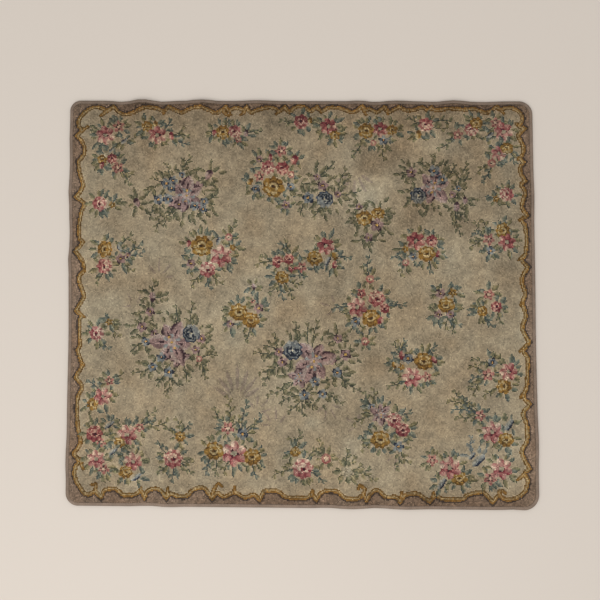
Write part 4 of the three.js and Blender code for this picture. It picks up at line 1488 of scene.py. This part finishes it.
def pile_piece(name, corners, tops, tufts, material):
    """The tufts of one quarter of the rug as an object, with the chart's colour on every face corner,
    darkened in the dips as painted shade.
    """
    rows, columns = np.nonzero(tufts)
    wide = COLUMNS + 1
    points = np.concatenate([corners.reshape(-1, 3), tops.reshape(-1, 3)])
    top = len(corners) * wide + rows * COLUMNS + columns
    first = rows * wide + columns
    edge = np.stack([first, first + 1, first + wide + 1, first + wide], axis=1)
    top = np.broadcast_to(top[:, None], edge.shape)
    triangles = np.stack([top, edge, np.roll(edge, -1, axis=1)], axis=2)
    used, index = np.unique(triangles.reshape(-1), return_inverse=True)
    points = points[used]
    mesh = pile_mesh(name, points, index)
    shade = np.array([1.0, DIP_SHADE, DIP_SHADE])  # painted shade of a tuft's top, and of its two corners in the dips
    colours = np.ones((len(rows), 4, 3, 4))
    colours[..., :3] = linear(chart[rows, columns])[:, None, None, :] * shade[:, None]
    attribute = mesh.color_attributes.new("tuft_colour", "FLOAT_COLOR", "CORNER")
    attribute.data.foreach_set("color", colours.ravel())
    flat = points[index][:, :2]
    low, high = flat.min(axis=0), flat.max(axis=0)
    margin = 0.01
    bake_map = mesh.uv_layers.new(name="OFBake")
    bake_map.data.foreach_set("uv", (margin + (1 - 2 * margin) * (flat - low) / (high - low)).ravel())
    mesh.materials.append(material)
    return add_object(name, mesh)


def build_pile():
    """The whole pile, in quarters."""
    corners, tops, tufts = pile_points()
    material = pile_material()
    near, far = slice(None, ROWS // 2), slice(ROWS // 2, None)
    left, right = slice(None, COLUMNS // 2), slice(COLUMNS // 2, None)
    pieces = []
    for name, rows, columns in (
        ("pile_near_left", near, left),
        ("pile_near_right", near, right),
        ("pile_far_left", far, left),
        ("pile_far_right", far, right),
    ):
        quarter = np.zeros_like(tufts)
        quarter[rows, columns] = tufts[rows, columns]
        pieces.append(pile_piece(name, corners, tops, quarter, material))
    return pieces


# The ground weave and the binding. A point of a section is its distance in from the rim and its height.


def build_ground():
    """The woven ground that carries the pile, bare at its edge where the tape grips it."""
    section = [
        (WAVE_DEPTH, 0),
        (WAVE_DEPTH / 2, 0),
        (RECESS_EDGE + GROUND_SLOPE, 0),
        (RECESS_EDGE, SELVEDGE_BOTTOM),
        (CARPET_EDGE, SELVEDGE_BOTTOM),
        (CARPET_EDGE, SELVEDGE_TOP),
        (PILE_EDGE, SELVEDGE_TOP),
        (PILE_EDGE + GROUND_SLOPE, GROUND_TOP),
        (WAVE_DEPTH / 2, GROUND_TOP),
        (WAVE_DEPTH, GROUND_TOP),
    ]
    points, faces = sweep(section, closed=False, straight_steps=60, arc_steps=8)
    return make_object("ground_weave", points, faces, ground_material())


def tape_section():
    """The tape's outline once round, with soft folds, a sewn-down seam and a swell on either side."""
    turns = np.linspace(0, math.pi / 2, FOLD_STEPS)
    fold = [(FOLD_RADIUS * (1 - math.sin(t)), FOLD_RADIUS * (1 - math.cos(t))) for t in turns]
    under = [(TAPE_BELOW, 0.0), (TAPE_BELOW / 2, 0.0)] + fold
    over = [(inset, TAPE_TOP - height) for inset, height in fold[::-1]]
    top = [
        (0.0035, TAPE_TOP + SEAM_SWELL),
        (SEAM_INSET - 0.0014, TAPE_TOP + 0.0002),
        (SEAM_INSET - SEAM_HALF_WIDTH, TAPE_TOP - 0.0004),
        (SEAM_INSET, TAPE_TOP - SEAM_DIP),
        (SEAM_INSET + SEAM_HALF_WIDTH, TAPE_TOP - 0.0004),
        (SEAM_INSET + 0.0016, TAPE_TOP),
        (TAPE_ON_TOP - 0.0003, TAPE_TOP - 0.0003),
        (TAPE_ON_TOP, TAPE_TOP - 0.0009),
    ]
    inner = [
        (TAPE_ON_TOP, SELVEDGE_TOP + GAP),
        (TAPE_THICKNESS, SELVEDGE_TOP + GAP),
        (TAPE_THICKNESS, TAPE_THICKNESS),
        (TAPE_BELOW, TAPE_THICKNESS),
    ]
    return under + over + top + inner


def lengths_along(points):
    """How far along a row of points each one is."""
    return np.concatenate([[0], np.cumsum(np.linalg.norm(np.diff(points, axis=0), axis=1))])


def build_tape():
    """The tape folded over the edge, with a map that runs along it and across it in metres."""
    section = tape_section()
    points, faces = sweep(section, closed=True)
    tape = make_object("edge_tape", points, faces, tape_material())
    along = lengths_along(lay_ring(0, 0))
    across = lengths_along(np.array(section))
    count = len(along)
    index = np.array(faces).ravel()
    tape_map = tape.data.uv_layers.new(name="tape")
    tape_map.data.foreach_set("uv", np.stack([along[index % count], across[index // count]], axis=1).ravel())
    return tape


def seam_path():
    """The path of the seam round the tape, as a curve object."""
    seam = lay_ring(SEAM_INSET, TAPE_TOP - STITCH_SINK)
    path = bpy.data.curves.new("seam", "CURVE")
    path.dimensions = "3D"
    spline = path.splines.new("POLY")
    spline.points.add(len(seam) - 1)
    spline.points.foreach_set("co", np.column_stack([seam, np.ones(len(seam))]).ravel())
    spline.use_cyclic_u = True
    return add_object("seam", path)


def running_stitch(material):
    """A node tree that lays short pieces of thread along a curve."""
    tree = bpy.data.node_groups.new("running_stitch", "GeometryNodeTree")
    tree.interface.new_socket("Geometry", in_out="INPUT", socket_type="NodeSocketGeometry")
    for name, value in (("Pitch", STITCH_PITCH), ("Length", STITCH_LENGTH), ("Radius", THREAD_RADIUS)):
        socket = tree.interface.new_socket(name, in_out="INPUT", socket_type="NodeSocketFloat")
        socket.default_value = value
    tree.interface.new_socket("Geometry", in_out="OUTPUT", socket_type="NodeSocketGeometry")
    given = add_node(tree, "NodeGroupInput").outputs
    path, pitch = given["Geometry"], given["Pitch"]
    places = add_node(tree, "GeometryNodeCurveToPoints", dict(mode="LENGTH"), Curve=path, Length=pitch)
    ends = []
    for share in (-0.5, 0.5):
        reach = add_node(tree, "ShaderNodeMath", dict(operation="MULTIPLY"), _0=given["Length"], _1=share)
        ends.append(add_node(tree, "ShaderNodeCombineXYZ", Z=reach.outputs[0]).outputs[0])
    bar = add_node(
        tree, "GeometryNodeCurveQuadraticBezier", Start=ends[0], Middle=(0, 0, 0), End=ends[1], Resolution=4
    )
    outline = add_node(tree, "GeometryNodeCurvePrimitiveCircle", Resolution=6, Radius=given["Radius"])
    yarn = add_node(
        tree, "GeometryNodeCurveToMesh", Curve=bar.outputs["Curve"], Profile_Curve=outline.outputs["Curve"],
        Fill_Caps=True,
    )
    stitches = add_node(
        tree, "GeometryNodeInstanceOnPoints", Points=places.outputs["Points"], Instance=yarn.outputs["Mesh"],
        Rotation=places.outputs["Rotation"],
    )
    real = add_node(tree, "GeometryNodeRealizeInstances", Geometry=stitches.outputs["Instances"])
    dyed = add_node(tree, "GeometryNodeSetMaterial", Geometry=real.outputs["Geometry"], Material=material)
    add_node(tree, "NodeGroupOutput", Geometry=dyed.outputs["Geometry"])
    return tree


def build_stitches(material):
    """A running stitch along the tape's seam, laid by nodes along the path of the seam."""
    guide = seam_path()
    guide.modifiers.new("stitches", "NODES").node_group = running_stitch(material)
    graph = bpy.context.evaluated_depsgraph_get()
    mesh = bpy.data.meshes.new_from_object(guide.evaluated_get(graph))
    bpy.data.objects.remove(guide)
    return add_object("seam_stitches", mesh)


# The floor, the light and the camera


def build_stage():
    """A plain pale floor under soft light from above and from the near left."""
    corners = [(-1, -1), (1, -1), (1, 1), (-1, 1)]
    points = [(FLOOR_REACH * x, FLOOR_REACH * y, -FLOOR_DROP) for x, y in corners]
    floor = make_object("floor", points, [(0, 1, 2, 3)], plain_material("floor", FLOOR, roughness=0.75))
    world = bpy.data.worlds.new("room")
    world.use_nodes = True
    background = world.node_tree.nodes["Background"]
    background.inputs["Color"].default_value = WORLD_TINT
    background.inputs["Strength"].default_value = WORLD_LIGHT
    bpy.context.scene.world = world
    lamp = bpy.data.lights.new("window", "AREA")
    lamp.energy = KEY_LIGHT
    lamp.size = KEY_SIZE
    lamp.color = KEY_TINT
    window = add_object("window", lamp)
    window.location = KEY_PLACE
    window.rotation_euler = (-Vector(KEY_PLACE)).to_track_quat("-Z", "Y").to_euler()


def build_camera():
    """The camera, at the photograph's viewing angle."""
    data = bpy.data.cameras.new("camera")
    data.lens = CAMERA_LENS
    data.sensor_width = CAMERA_SENSOR
    camera = add_object("camera", data)
    camera.location = CAMERA_PLACE
    camera.rotation_euler = CAMERA_TURN
    bpy.context.scene.camera = camera


weave_chart()
pile = build_pile()
ground = build_ground()
tape = build_tape()
stitches = build_stitches(plain_material("seam_thread", THREAD, roughness=0.85, sheen=0.1))

for piece in [*pile, ground, tape, stitches]:
    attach(piece, "root")
for piece in [*pile, ground]:
    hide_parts("carpet")
for piece in (tape, stitches):
    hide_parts("binding")

build_stage()
build_camera()
bpy.context.scene.view_settings.view_transform = "Standard"
